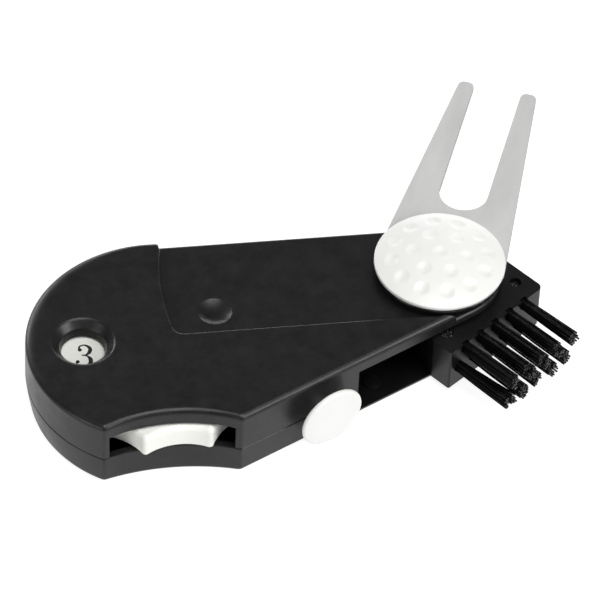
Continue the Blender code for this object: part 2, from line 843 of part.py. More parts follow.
def make_latch_spring():
    """A compression coil between the latch and its seat on the far wall."""
    curve = bpy.data.curves.new("latch_spring", "CURVE")
    curve.dimensions = "3D"
    curve.bevel_depth = SPRING_WIRE_R * MM
    curve.bevel_resolution = 1
    curve.use_fill_caps = True
    steps = 12 * SPRING_TURNS
    length = SPRING_REACH - 2 * SPRING_WIRE_R - 0.5
    spline = curve.splines.new("POLY")
    spline.points.add(steps)
    for i, target in enumerate(spline.points):
        turn = 2 * pi * SPRING_TURNS * i / steps
        target.co = (
            SPRING_R * cos(turn) * MM,
            (SPRING_WIRE_R + 0.25 + length * i / steps) * MM,
            SPRING_R * sin(turn) * MM,
            1.0,
        )
    spring = bpy.data.objects.new("latch_spring", curve)
    TOOLS.objects.link(spring)
    start = spring_line(0.0)
    spring.location = (start.x * MM, start.y * MM, BUTTON_Z * MM)
    spring.rotation_euler.z = radians(TAPER)
    return curve_to_mesh(spring)


# ---------------------------------------------------------------- assembly


def build():
    black = material("black_plastic", (0.02, 0.02, 0.021), 0.38)
    white = material("white_plastic", (0.86, 0.86, 0.83), 0.35)
    steel = material("satin_steel", (0.62, 0.62, 0.61), 0.32, 1.0)
    plated = material("plated_steel", (0.55, 0.55, 0.56), 0.25, 1.0)
    nylon = material("natural_nylon", (0.75, 0.74, 0.7), 0.45)
    bristle = material("black_nylon", (0.01, 0.01, 0.011), 0.25)
    magnetic = material("magnet", (0.3, 0.3, 0.32), 0.3, 1.0)

    shared, near_post, far_post = make_shared_cutters()
    posts = (near_post, far_post)
    bottom = make_bottom_shell(shared, posts)
    top = make_top_shell(shared, posts)
    click = make_click_spring()
    screws = [
        make_screw("axle_screw", WHEEL, 12.3),
        make_screw("case_screw_near", near_post, 10.8),
        make_screw("case_screw_far", far_post, 10.8),
    ]
    rivet = make_rivet()
    wave = washer("wave_washer", RIVET_R + 0.2, 5.0, 12.7, 13.1)
    paint(black, bottom, top)
    paint(plated, click, rivet, wave, *screws)

    wheel_axis = axis_empty("counter_wheel_axis", WHEEL, WHEEL_TIP_ANGLE)
    wheel = make_counter_wheel()
    put_on(wheel_axis, wheel)
    paint(white, wheel)

    fork_axis = axis_empty("fork_axis", PIVOT, FORK_ANGLE)
    fork = make_fork()
    put_on(fork_axis, fork)
    holder = make_marker_holder()
    magnet = rod("marker_magnet", PIVOT, 4.1, 15.75, 16.4)
    keep_on(fork_axis, holder, magnet)
    paint(steel, fork)
    paint(black, holder)
    paint(magnetic, magnet)

    marker_axis = axis_empty("marker_axis", PIVOT)
    marker = make_marker()
    marker_disc = rod("marker_steel_disc", PIVOT, 6.3, 16.65, 16.95)
    keep_on(marker_axis, marker, marker_disc)
    paint(white, marker)
    paint(plated, marker_disc)

    brush_axis = axis_empty("brush_axis", PIVOT, BRUSH_ANGLE)
    arm = make_brush_arm()
    tufts = make_tufts(arm)
    pins = make_stake_pins(arm)
    brush_washer = washer("brush_washer", RIVET_R + 0.1, 4.3, 11.0, 11.4)
    put_on(brush_axis, arm, *tufts, *pins)
    keep_on(brush_axis, brush_washer)
    for cutter in CUTTERS.objects:
        if cutter.name.startswith(("cut_brush", "cut_boss", "cut_tuft", "cut_stake")):
            cutter.parent = brush_axis
    bpy.data.objects["cut_fork_bore"].parent = fork_axis
    bpy.data.objects["cut_wheel_bore"].parent = wheel_axis
    paint(black, arm, *pins)
    paint(nylon, brush_washer)
    paint(bristle, *tufts)

    button_axis = axis_empty("button_axis", along_wall(NOSE_R, -BUTTON_ALONG), TAPER, BUTTON_Z)
    button, stem = make_button()
    put_on(button_axis, button, stem)
    latch = make_latch_slide()
    latch_spring = make_latch_spring()
    keep_on(button_axis, latch)
    paint(white, button)
    paint(black, latch)
    paint(plated, latch_spring)


for leftover in list(bpy.data.objects):
    bpy.data.objects.remove(leftover)
TOOLS = collection("divot_repair_tool")
CUTTERS = collection("cutters")
build()
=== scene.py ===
"""Looks of a pocket divot repair tool: satin black case, steel fork, dimpled marker, dial and brush.

Lengths are millimetres and angles degrees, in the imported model's frame: +X from the dial to the rivet,
+Z up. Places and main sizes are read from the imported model; the rest are named below.
"""

import random
from math import asin, atan2, cos, degrees, hypot, pi, radians, sin, sqrt

import bmesh
import bpy
from mathutils import Matrix, Vector
from mathutils.geometry import intersect_line_sphere_2d, intersect_sphere_sphere_2d


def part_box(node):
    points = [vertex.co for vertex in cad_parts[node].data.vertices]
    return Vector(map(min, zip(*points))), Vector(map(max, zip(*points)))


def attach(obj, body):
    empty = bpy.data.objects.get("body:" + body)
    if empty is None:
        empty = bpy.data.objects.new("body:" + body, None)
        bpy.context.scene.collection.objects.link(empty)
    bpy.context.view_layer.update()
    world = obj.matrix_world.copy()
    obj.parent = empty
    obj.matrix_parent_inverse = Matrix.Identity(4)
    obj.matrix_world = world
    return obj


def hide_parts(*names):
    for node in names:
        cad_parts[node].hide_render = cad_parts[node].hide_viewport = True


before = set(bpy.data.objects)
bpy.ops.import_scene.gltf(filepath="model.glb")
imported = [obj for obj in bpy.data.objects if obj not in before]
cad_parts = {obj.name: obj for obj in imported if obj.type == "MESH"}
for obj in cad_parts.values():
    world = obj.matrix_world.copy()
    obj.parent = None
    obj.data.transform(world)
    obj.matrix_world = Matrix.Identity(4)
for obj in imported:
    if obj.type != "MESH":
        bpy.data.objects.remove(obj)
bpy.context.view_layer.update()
MM = 0.001
RANDOM = random.Random(7)


def box_mm(node):
    low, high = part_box(node)
    return low / MM, high / MM


def middle(node):
    low, high = box_mm(node)
    return ((low + high) / 2).to_2d()


def polar(centre, radius, angle):
    return Vector((centre[0] + radius * cos(radians(angle)), centre[1] + radius * sin(radians(angle))))


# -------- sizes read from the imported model

CASE_LOW, CASE_HIGH = box_mm("top_shell")
PIVOT = middle("pivot_rivet")
WHEEL = middle("axle_screw")
SPAN = PIVOT.x - WHEEL.x
END_R = WHEEL.x - CASE_LOW.x
NOSE_R = CASE_HIGH.x - PIVOT.x
HEIGHT = CASE_HIGH.z
TOP_LOW = CASE_LOW.z
TAPER = degrees(asin((END_R - NOSE_R) / SPAN))
NEAR = -90.0 + TAPER
FAR = 90.0 - TAPER
FOLDED = 180.0 - TAPER
TANGENT = polar((0, 0), 1.0, TAPER)
OUTWARD = Vector((TANGENT.y, -TANGENT.x))

# -------- sizes of the case's details

SPLIT = TOP_LOW - 0.1
FLOOR = 1.05
ROOF = 11.5
RECESS = 13.0
WALL = 1.4
TOP_ROUND = 1.15
BOTTOM_ROUND = 0.9
SPLIT_ROUND = 0.12
EDGE_ROUND = 0.16
END_SWELL = 1.7
END_DRAFT = 0.8

SCALLOP_START = -133.8
SCALLOP_PAST_TANGENT = 1.6
SCALLOP_DEPTH = 2.4
SCALLOP_DEEPER = 0.6
SCALLOP_CORNER = 0.5
SLOT_WALL = 0.8
SLOT_DEPTH = 4.5
SLOT_ENDS = (-133.5, 1.2)

RECESS_HALF = 12.0
RECESS_HUB_R = 12.4
RECESS_END_R = 52.0
RECESS_CORNER_R = 1.9
RECESS_LIP = 0.55
RECESS_RIM_CORNER = 3.0
RECESS_FAR_ROUND = 0.8
NAIL_DIMPLE = PIVOT + Vector((-42.9, 4.4))
NAIL_DIMPLE_R = 3.4
NAIL_DIMPLE_DEPTH = 0.85
NAIL_DIMPLE_CURVE = 2.2

BAY_MOUTH = 26.2
BAY_FAR_END = -2.6
BAY_MARK = PIVOT + Vector((-17.5, -11.6))

WINDOW_RADIUS = 14.0
WINDOW_ANGLE = 163.7
WINDOW = polar(WHEEL, WINDOW_RADIUS, WINDOW_ANGLE)
WINDOW_BORE_R = 4.0
WINDOW_THROAT_R = 4.4
WINDOW_RIM_R = 5.85
SIDE_POST = Vector((-37.6, 17.2))
LOWER_POST_R = 2.6
UPPER_POST_R = 2.0
POST_FOOT = 0.6
POST_HEAD = ROOF + 0.8
RIVET_HOLE_R = 2.15
PIVOT_BORE_R = 2.06
RIVET_HEAD_HOLE_R = 3.9
RIVET_BOSS_R = 5.0
WASHER_SEAT_R = 5.3
WASHER_SEAT = 12.6
AXLE_SHELF_R = 5.6
SCREW_HEAD_HOLE_R = 2.15
SCREW_SHANK_HOLE_R = 1.12

# -------- sizes of the moving pieces

WHEEL_POSITIONS = 11
WHEEL_TIP_R = 21.75
WHEEL_VALLEY_R = 19.3
WHEEL_TIP_BLUNT = 0.955
WHEEL_FLUTE_SHARE = 0.86
WHEEL_EDGE = 1.0
WHEEL_TIP_ANGLE = -116.6
AXLE_R = 3.0
DIGIT_HEIGHT = 5.65
DIGIT_WIDTH = 0.93 * DIGIT_HEIGHT
PAIR_WIDTH = 0.8 * DIGIT_WIDTH
DIGIT_RADIUS = 13.8
DIGIT_TURN = 2.0
DIGIT_SHOWN = 3

FORK_ANGLE = 54.6
FORK_HUB_R = 10.3
FORK_ROOT = 1.5
FORK_ROOT_HALF = 12.2
FORK_LENGTH = 49.6
FORK_TIP_HALF = 7.7
FORK_GAP_HALF = 4.6
FORK_GAP_START = 15.6
FORK_TIP_ROUND = 1.2

MARKER_EDGE = 16.3
DIMPLE_R = 1.6
DIMPLE_DEPTH = 0.38
DIMPLE_RINGS = ((5.0, 6, 31.0), (9.0, 12, 16.0))

BRUSH_ANGLE = -65.2
BRUSH_FACE = 14.4
BRUSH_LEFT, BRUSH_RIGHT = -11.9, 13.0
BRUSH_HUB_R = 7.5
TUFTS_PER_ROW = 5
TUFT_PITCH = 3.95
TUFT_HOLE_R = 1.15
TUFT_HOLE_DEPTH = 2.8
TUFT_END = 28.0
TUFT_ROWS = {"upper": (9.5, 0.05), "lower": (5.45, -1.45)}
STRANDS = 30
STRAND_R = 0.2
SPLAYED_TUFT = "tuft_lower_1"
STAKE_DEPTH = 10.3
STAKE_SIDES = (-8.6, 10.1)
STAKE_R = 1.1

BUTTON_ALONG = 34.2
BUTTON_Z = 6.9
BUTTON_R = 6.45
BUTTON_STANDOFF = 2.5
BUTTON_THICK = 1.2
BUTTON_LEAN = 3.0
STEM_R = 1.6
STEM_INSIDE = 6.0

# -------- view and light

VIEW_TARGET = Vector((PIVOT.x - 25.9, 4.45, 10.0))
VIEW_DISTANCE = 988.5
VIEW_AZIMUTH = -113.3
VIEW_ELEVATION = 46.5
VIEW_ROLL = 3.0
VIEW_LENS = 319.2
LIGHT_AIM = Vector((5.0, 0.0, 8.0))
# Each light's place, width, height and power in watts.
SOFT_BOXES = {
    "key": ((560.0, -560.0, 480.0), 420.0, 420.0, 4.2),
    "overhead": ((60.0, -260.0, 900.0), 600.0, 600.0, 6.0),
    "left": ((-760.0, -200.0, 300.0), 400.0, 300.0, 1.3),
    "rim": ((-260.0, 840.0, 260.0), 420.0, 220.0, 2.2),
    "back": ((360.0, 800.0, 90.0), 640.0, 150.0, 1.3),
}


# ======== outlines


def arc(centre, radius, start, end, count):
    """count + 1 points from the start angle to the end angle."""
    return [polar(centre, radius, start + (end - start) * i / count) for i in range(count + 1)]


def mirrored(point):
    return Vector((point.x, -point.y))


def angle_of(point, centre):
    return degrees(atan2(point[1] - centre[1], point[0] - centre[0]))


def by_near_wall(distance_out, along):
    return PIVOT + OUTWARD * distance_out + TANGENT * along


def corner_curve(before, corner, after, steps=5):
    """Points of a soft corner between two lines, without its ends."""
    points = []
    for i in range(1, steps):
        t = i / steps
        points.append(before * (1 - t) ** 2 + corner * (2 * t * (1 - t)) + after * t**2)
    return points


def soften(points, reaches, steps=5):
    """Rounds an open line's corners. Each reach is how far a corner's round runs along its sides."""
    points = [Vector(p) for p in points]
    result = []
    for i, (corner, r) in enumerate(zip(points, reaches)):
        if r <= 0 or i in (0, len(points) - 1):
            result.append(corner)
            continue
        before, after = points[i - 1], points[i + 1]
        start = corner + (before - corner).normalized() * min(r, (before - corner).length * 0.49)
        end = corner + (after - corner).normalized() * min(r, (after - corner).length * 0.49)
        result += [start, *corner_curve(start, corner, end, steps), end]
    return result


def scallop_circle(depth):
    left = polar(WHEEL, END_R, SCALLOP_START)
    right = polar(WHEEL, END_R, NEAR) + TANGENT * SCALLOP_PAST_TANGENT
    centre_line = (left + right) / 2
    half = (right - left).length / 2
    radius = (half * half + depth * depth) / (2 * depth)
    inward = (WHEEL - centre_line).normalized()
    return centre_line - inward * (radius - depth), radius


def end_weight(angle):
    """0 at the ends of the wide end's arc and 1 in its middle."""
    t = (angle - FAR) / (360.0 + SCALLOP_START - FAR)
    return sin(pi * min(max(t, 0.0), 1.0)) ** 1.3


def case_outline(inset=0.0, scalloped=True, end_inset=0.0, depth=SCALLOP_DEPTH):
    """The case seen from above, moved inwards by inset, with softened scallop corners.

    end_inset is how much further in the middle of the wide end is, and depth is the scallop's.
    """
    nose = arc(PIVOT, NOSE_R - inset, NEAR, FAR, 48)
    if not scalloped:
        return nose + arc(WHEEL, END_R - inset, FAR, 360.0 + NEAR, 120)
    centre, radius = scallop_circle(depth)
    radius += inset
    left = min(intersect_sphere_sphere_2d(WHEEL, END_R - inset, centre, radius), key=lambda p: p.x)
    wall = (by_near_wall(NOSE_R - inset, -SPAN), by_near_wall(NOSE_R - inset, 0.0))
    crossings = [p for p in intersect_line_sphere_2d(*wall, centre, radius, False) if p]
    right = max(crossings, key=lambda p: p.x)
    end_turn = degrees(SCALLOP_CORNER / END_R)
    scallop_turn = degrees(SCALLOP_CORNER / radius)
    end_stop = 360.0 + angle_of(left, WHEEL) - end_turn
    end_turns = [FAR + (end_stop - FAR) * i / 100 for i in range(101)]
    end_arc = [polar(WHEEL, END_R - inset - end_inset * end_weight(turn), turn) for turn in end_turns]
    start, end = angle_of(left, centre) - scallop_turn, angle_of(right, centre) + scallop_turn
    scallop = arc(centre, radius, start, end, 36)
    wall_start = right + TANGENT * SCALLOP_CORNER
    return (
        nose
        + end_arc
        + corner_curve(end_arc[-1], left, scallop[0])
        + scallop
        + corner_curve(scallop[-1], right, wall_start)
        + [wall_start]
    )


def slot_outline():
    """Thins the walls beside the scallop, so that the thumb slot reaches almost to its corners."""
    start, past_tangent = SLOT_ENDS
    end = past_tangent - SPAN * cos(radians(TAPER))
    return (
        arc(WHEEL, END_R - SLOT_WALL, start, NEAR, 40)
        + [by_near_wall(NOSE_R - SLOT_WALL, end)]
        + [by_near_wall(NOSE_R - SLOT_DEPTH, end)]
        + arc(WHEEL, END_R - SLOT_DEPTH, NEAR, start, 40)
    )


def recess_outline():
    """The shallow recess for the folded fork: a band with a round end, open at the nose and far side.

    Its end runs out into the far wall, so that the rim beside it has a round corner.
    """
    along = polar((0, 0), 1.0, FOLDED)
    across = Vector((-along.y, along.x))

    def point(forward, side):
        return PIVOT + along * forward + across * side

    inner = RECESS_HALF - RECESS_CORNER_R
    corner = point(sqrt((RECESS_END_R - RECESS_CORNER_R) ** 2 - inner**2), inner)
    turn = angle_of(corner, PIVOT) % 360.0
    hub_start = angle_of(point(sqrt(RECESS_HUB_R**2 - RECESS_HALF**2), RECESS_HALF), PIVOT)
    far_tangent, far_outward = mirrored(TANGENT), mirrored(OUTWARD)
    rim_corner = PIVOT + far_outward * NOSE_R - far_tangent * sqrt(RECESS_END_R**2 - NOSE_R**2)
    on_wall = rim_corner - far_tangent * RECESS_RIM_CORNER
    corner_turn = angle_of(rim_corner, PIVOT) + degrees(RECESS_RIM_CORNER / RECESS_END_R)
    end_arc = arc(PIVOT, RECESS_END_R, corner_turn, turn, 40)
    return (
        [on_wall + far_outward * 4.0 - far_tangent * 0.2, on_wall]
        + corner_curve(on_wall, rim_corner, end_arc[0], 8)
        + end_arc
        + arc(corner, RECESS_CORNER_R, turn, FOLDED + 90.0, 10)[1:]
        + arc(PIVOT, RECESS_HUB_R, hub_start, FAR - 10.0, 60)
        + [point(-4.0, -NOSE_R - 5.0)]
    )


def bay_outline():
    """The part of the case's rim that is open for the brush."""
    mouth = [by_near_wall(distance_out, -BAY_MOUTH) for distance_out in (6.0, 25.0)]
    corners = ((25.0, -26.0), (25.0, 25.0), (BAY_FAR_END, 25.0), (BAY_FAR_END, 6.0))
    return mouth + [PIVOT + Vector(corner) for corner in corners]


def wheel_outline(inset=0.0):
    """The fluted wheel from above, with rounded tips between its flutes."""
    half_step = 180.0 / WHEEL_POSITIONS
    tip = polar((0, 0), WHEEL_TIP_R, WHEEL_TIP_BLUNT * half_step)
    reach = (tip.length_squared - WHEEL_VALLEY_R**2) / (2 * (tip.x - WHEEL_VALLEY_R))
    radius = reach - WHEEL_VALLEY_R + inset
    low, high = 0.0, 60.0
    for _ in range(24):
        turn = (low + high) / 2
        flute_end = Vector((reach - radius * cos(radians(turn)), radius * sin(radians(turn))))
        if degrees(atan2(flute_end.y, flute_end.x)) < WHEEL_FLUTE_SHARE * half_step:
            low = turn
        else:
            high = turn
    along_tip = flute_end.length * cos(radians((1.0 - WHEEL_FLUTE_SHARE) * half_step))
    apex = 2 * (WHEEL_TIP_R - 1.2 * inset) - along_tip
    points = []
    for k in range(WHEEL_POSITIONS):
        middle_turn = WHEEL_TIP_ANGLE + 2 * half_step * (k + 0.5)
        centre = polar(WHEEL, reach, middle_turn)
        points += arc(centre, radius, middle_turn + 180.0 + low, middle_turn + 180.0 - low, 22)
        following = polar(WHEEL, flute_end.length, middle_turn + half_step * (2.0 - WHEEL_FLUTE_SHARE))
        points += corner_curve(points[-1], polar(WHEEL, apex, middle_turn + half_step), following, 8)
    return points


def fork_outline(inset=0.0):
    """The fork from above in its own frame, prongs along +X."""
    slope = (FORK_ROOT_HALF - FORK_TIP_HALF) / FORK_LENGTH
    lean = degrees(atan2(slope, 1.0))
    r = FORK_TIP_ROUND
    root = Vector((FORK_ROOT, FORK_ROOT_HALF - FORK_ROOT * slope - inset))
    outer = (FORK_LENGTH - r, FORK_TIP_HALF - r)
    inner = (FORK_LENGTH - r, FORK_GAP_HALF + r)
    upper = arc(outer, r - inset, 90.0 - lean, 0.0, 8) + arc(inner, r - inset, 0.0, -90.0, 8)
    lower = [mirrored(p) for p in reversed(upper)]
    gap = arc((FORK_GAP_START + FORK_GAP_HALF, 0.0), FORK_GAP_HALF + inset, 90.0, 270.0, 36)
    hub = [mirrored(root), *arc((0.0, 0.0), FORK_HUB_R - inset, -105.0, -255.0, 60), root]
    return list(reversed(upper + gap + lower + hub))


def brush_outline():
    """The brush block and its hub in their own frame, bristles along +X."""
    r, front_r, left_r = 0.9, 1.2, 0.4
    front = BRUSH_FACE - r
    return (
        arc((front, BRUSH_RIGHT - front_r), front_r, 0.0, 90.0, 8)
        + arc((4.5 + r, BRUSH_RIGHT - r), r, 90.0, 150.0, 6)
        + arc((0.0, 0.0), BRUSH_HUB_R, 112.0, 236.0, 30)
        + arc((9.2 + r, BRUSH_LEFT + r), r, 236.0, 270.0, 4)
        + arc((BRUSH_FACE - left_r, BRUSH_LEFT + left_r), left_r, 270.0, 360.0, 6)
    )


# ======== mesh tools


def new_piece(name, mesh):
    piece = bpy.data.objects.new(name, mesh)
    bpy.context.scene.collection.objects.link(piece)
    return piece


def open_mesh(name, points, faces):
    """A mesh from points in millimetres."""
    mesh = bpy.data.meshes.new(name)
    mesh.from_pydata([Vector(p) * MM for p in points], [], faces)
    return mesh


def closed_mesh(name, points, faces):
    """A mesh from points in millimetres, with its faces pointing out."""
    mesh = open_mesh(name, points, faces)
    build = bmesh.new()
    build.from_mesh(mesh)
    bmesh.ops.recalc_face_normals(build, faces=build.faces)
    build.to_mesh(mesh)
    build.free()
    return mesh


def loft(name, rings):
    """A closed solid through rings of points, with flat ends."""
    count = len(rings[0])
    points = [p for ring in rings for p in ring]
    faces = []
    for k in range(len(rings) - 1):
        for i in range(count):
            j = (i + 1) % count
            faces.append((k * count + i, k * count + j, (k + 1) * count + j, (k + 1) * count + i))
    last = (len(rings) - 1) * count
    faces.append(tuple(range(count)))
    faces.append(tuple(range(last, last + count)))
    return new_piece(name, closed_mesh(name, points, faces))


def level(outline, z):
    return [(p[0], p[1], z) for p in outline]


def prism(name, outline, low, high):
    return loft(name, [level(outline, low), level(outline, high)])


def turned(name, profile, centre=(0.0, 0.0), steps=96):
    """A turned solid about an upright axis, from (radius, height) points."""
    points, rings = [], []
    for radius, height in profile:
        if radius < 1e-6:
            rings.append([len(points)])
            points.append((centre[0], centre[1], height))
            continue
        rings.append(list(range(len(points), len(points) + steps)))
        points += [(*polar(centre, radius, 360.0 * i / steps), height) for i in range(steps)]
    faces = []
    for a, b in zip(rings, rings[1:]):
        for i in range(steps):
            j = (i + 1) % steps
            corners = [a[i % len(a)], a[j % len(a)], b[j % len(b)], b[i % len(b)]]
            faces.append(tuple(dict.fromkeys(corners)))
    return new_piece(name, closed_mesh(name, points, faces))


def rod(name, centre, radius, low, high, steps=48):
    return turned(name, [(0.0, low), (radius, low), (radius, high), (0.0, high)], centre, steps)


def move(matrix, *pieces):
    """Moves the pieces' points by a matrix whose lengths are millimetres."""
    metres = matrix.copy()
    metres.translation *= MM
    for piece in pieces:
        piece.data.transform(metres)


def boolean(piece, operation, others):
    for other in others:
        modifier = piece.modifiers.new(other.name, "BOOLEAN")
        modifier.operation = operation
        modifier.solver = "EXACT"
        modifier.object = other
    bake(piece)
    for other in others:
        bpy.data.objects.remove(other)


def cut(piece, *others):
    boolean(piece, "DIFFERENCE", others)


def join(piece, *others):
    boolean(piece, "UNION", others)


def bake(piece):
    """Applies a piece's modifiers to its mesh."""
    bpy.context.view_layer.update()
    evaluated = piece.evaluated_get(bpy.context.evaluated_depsgraph_get())
    mesh = bpy.data.meshes.new_from_object(evaluated)
    piece.modifiers.clear()
    piece.data = mesh


def clean(piece):
    """Merges stray points and flat faces that the cuts leave."""
    build = bmesh.new()
    build.from_mesh(piece.data)
    bmesh.ops.remove_doubles(build, verts=build.verts, dist=0.000004)
    bmesh.ops.dissolve_limit(build, angle_limit=radians(0.3), verts=build.verts, edges=build.edges)
    build.to_mesh(piece.data)
    build.free()


def round_edges(piece, width):
    bevel = piece.modifiers.new("Round", "BEVEL")
    bevel.limit_method = "ANGLE"
    bevel.angle_limit = radians(35.0)
    bevel.width = width * MM
    bevel.segments = 2
    bake(piece)


def dress(piece, finish, slot, body, *nodes, sharp=40.0):
    """Shades a piece, gives it its finish and places it on its body, in place of CAD nodes."""
    mesh = piece.data
    mesh.shade_smooth()
    mesh.set_sharp_from_angle(angle=radians(sharp))
    normals = piece.modifiers.new("Normals", "WEIGHTED_NORMAL")
    normals.keep_sharp = True
    mesh.materials.clear()
    mesh.materials.append(finish)
    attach(piece, body)
    if nodes:
        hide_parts(*nodes)
    return piece


# ======== materials


class Nodes:
    """A small helper that builds a Principled material's procedural inputs."""

    def __init__(self, name, colour, roughness, metallic=0.0):
        self.material = bpy.data.materials.new(name)
        self.material.use_nodes = True
        self.tree = self.material.node_tree
        self.shader = self.tree.nodes["Principled BSDF"]
        self.set("Base Color", (*colour, 1.0))
        self.set("Roughness", roughness)
        self.set("Metallic", metallic)
        self.material.diffuse_color = (*colour, 1.0)

    def set(self, socket, value):
        self.shader.inputs[socket].default_value = value

    def add(self, kind, **settings):
        node = self.tree.nodes.new(kind)
        for key, value in settings.items():
            if key in node.inputs:
                node.inputs[key].default_value = value
            else:
                setattr(node, key, value)
        return node

    def link(self, source, target):
        self.tree.links.new(source, target)

    def noise(self, scale, detail=2.0, roughness=0.5, stretch=None, turn=0.0):
        """Noise over the object's own coordinates; scale is in features per metre."""
        place = self.add("ShaderNodeTexCoord").outputs["Object"]
        if stretch:
            mapping = self.add("ShaderNodeMapping", vector_type="TEXTURE")
            mapping.inputs["Rotation"].default_value = (0.0, 0.0, radians(turn))
            mapping.inputs["Scale"].default_value = stretch
            self.link(place, mapping.inputs["Vector"])
            place = mapping.outputs["Vector"]
        texture = self.add("ShaderNodeTexNoise", Scale=scale, Detail=detail, Roughness=roughness)
        self.link(place, texture.inputs["Vector"])
        return texture.outputs["Fac"]

    def spread(self, source, low, high, start=0.3, end=0.7):
        """Maps a noise's usual range to low..high."""
        ranged = self.add("ShaderNodeMapRange")
        for key, value in (("From Min", start), ("From Max", end), ("To Min", low), ("To Max", high)):
            ranged.inputs[key].default_value = value
        self.link(source, ranged.inputs["Value"])
        return ranged.outputs["Result"]

    def blend_colours(self, source, first, second, start=0.3, end=0.7):
        ramp = self.add("ShaderNodeValToRGB")
        ramp.color_ramp.elements[0].position = start
        ramp.color_ramp.elements[0].color = (*first, 1.0)
        ramp.color_ramp.elements[1].position = end
        ramp.color_ramp.elements[1].color = (*second, 1.0)
        self.link(source, ramp.inputs["Fac"])
        self.link(ramp.outputs["Color"], self.shader.inputs["Base Color"])

    def rough(self, source, low, high, start=0.3, end=0.7):
        self.link(self.spread(source, low, high, start, end), self.shader.inputs["Roughness"])

    def bump(self, source, height, strength, below=None):
        """Adds relief of a height in millimetres; below is the bump under it."""
        node = self.add("ShaderNodeBump", Strength=strength, Distance=height * MM)
        self.link(source, node.inputs["Height"])
        if below:
            self.link(below, node.inputs["Normal"])
        self.link(node.outputs["Normal"], self.shader.inputs["Normal"])
        return node.outputs["Normal"]


def black_plastic(name="black_plastic", tone=0.007, gloss=0.38):
    """Satin ABS with the fine even grain of a spark-eroded mould, a little worn to a shine in places."""
    nodes = Nodes(name, (tone, tone, tone * 1.03), 0.42)
    mottle = nodes.noise(330.0, 5.0, 0.75)
    dark, light = (0.6, 0.6, 0.64), (1.5, 1.48, 1.5)
    nodes.blend_colours(mottle, tuple(tone * c for c in dark), tuple(tone * c for c in light))
    nodes.rough(nodes.noise(240.0, 4.0, 0.65), 0.31, 0.43)
    coarse = nodes.bump(nodes.noise(1300.0, 2.0), 0.014, 0.6)
    nodes.bump(nodes.noise(5200.0, 3.0, 0.6), 0.012, 0.7, coarse)
    nodes.set("Specular IOR Level", gloss)
    return nodes.material


def varied(name, colour, roughness, tones, clouds, gloss=None, grain=None, metallic=0.0):
    """A finish whose tone, shine and relief follow noises.

    clouds is the tone's (scale, detail), gloss is (scale, detail, low, high) and grain is (scale, height,
    strength).
    """
    nodes = Nodes(name, colour, roughness, metallic)
    nodes.blend_colours(nodes.noise(*clouds), *tones)
    if gloss:
        scale, detail, low, high = gloss
        nodes.rough(nodes.noise(scale, detail), low, high)
    if grain:
        scale, height, strength = grain
        nodes.bump(nodes.noise(scale), height, strength)
    return nodes.material


def gloss_black_plastic():
    colour = (0.006, 0.006, 0.0065)
    tones = ((0.005, 0.005, 0.0055), (0.009, 0.009, 0.0095))
    gloss, grain = (700.0, 4.0, 0.12, 0.22), (2500.0, 0.003, 0.6)
    return varied("gloss_black_plastic", colour, 0.16, tones, (300.0, 2.0), gloss, grain)


def white_plastic(name, colour, darker, low=0.30, high=0.40):
    gloss = (600.0, 3.0, low, high)
    return varied(name, colour, 0.35, (darker, colour), (120.0, 3.0), gloss, grain=(2200.0, 0.004, 0.5))


def satin_steel():
    """Tumbled stainless sheet with a faint grain along the prongs."""
    nodes = Nodes("satin_steel", (0.66, 0.66, 0.65), 0.42, 0.4)
    grain = nodes.noise(26000.0, 3.0, 0.6, stretch=(28.0, 1.0, 1.0), turn=FORK_ANGLE)
    cloud = nodes.noise(150.0, 3.0, 0.55, stretch=(3.0, 1.0, 1.0), turn=FORK_ANGLE)
    nodes.blend_colours(cloud, (0.63, 0.63, 0.62), (0.73, 0.73, 0.72))
    nodes.rough(grain, 0.38, 0.54)
    fine = nodes.bump(grain, 0.0035, 0.6)
    nodes.bump(nodes.noise(4200.0, 2.0), 0.003, 0.5, fine)
    return nodes.material


def punched_edge():
    """Painted shade on the steel plate's sides: darker tones, with the rougher finish that the punch
    leaves.
    """
    # The darker tones are painted shade on the plate's sides.
    tones = ((0.24, 0.24, 0.24), (0.36, 0.36, 0.355))
    gloss = (3000.0, 3.0, 0.4, 0.6)
    return varied("punched_edge", (0.3, 0.3, 0.3), 0.5, tones, (900.0, 3.0), gloss, metallic=0.4)


def plated_steel(name="plated_steel", colour=(0.55, 0.55, 0.56)):
    tones = (tuple(c * 0.85 for c in colour), colour)
    gloss = (1500.0, 4.0, 0.2, 0.36)
    return varied(name, colour, 0.28, tones, (500.0, 3.0), gloss, (5000.0, 0.002, 0.5), metallic=1.0)


def natural_nylon():
    tones = ((0.62, 0.61, 0.56), (0.72, 0.71, 0.67))
    return varied("natural_nylon", (0.7, 0.69, 0.64), 0.45, tones, (200.0, 3.0), (900.0, 2.0, 0.38, 0.52))


def bristle_nylon():
    """Glossy black filament; each strand differs a little in tone and gloss."""
    nodes = Nodes("bristle_nylon", (0.003, 0.003, 0.0035), 0.26)
    nodes.set("Specular IOR Level", 0.08)
    strand = nodes.add("ShaderNodeNewGeometry").outputs["Random Per Island"]
    nodes.blend_colours(strand, (0.0018, 0.0018, 0.002), (0.007, 0.007, 0.008), 0.0, 1.0)
    nodes.rough(strand, 0.16, 0.32, 0.0, 1.0)
    return nodes.material


def cut_nylon():
    """The paler cut ends of the strands."""
    tones = ((0.008, 0.008, 0.008), (0.07, 0.068, 0.064))
    return varied("cut_nylon", (0.035, 0.034, 0.032), 0.5, tones, (4000.0, 2.0))


def printing_ink():
    tones = ((0.008, 0.008, 0.009), (0.02, 0.02, 0.021))
    gloss = (2000.0, 2.0, 0.38, 0.55)
    return varied("printing_ink", (0.012, 0.012, 0.013), 0.45, tones, (3000.0, 3.0), gloss)


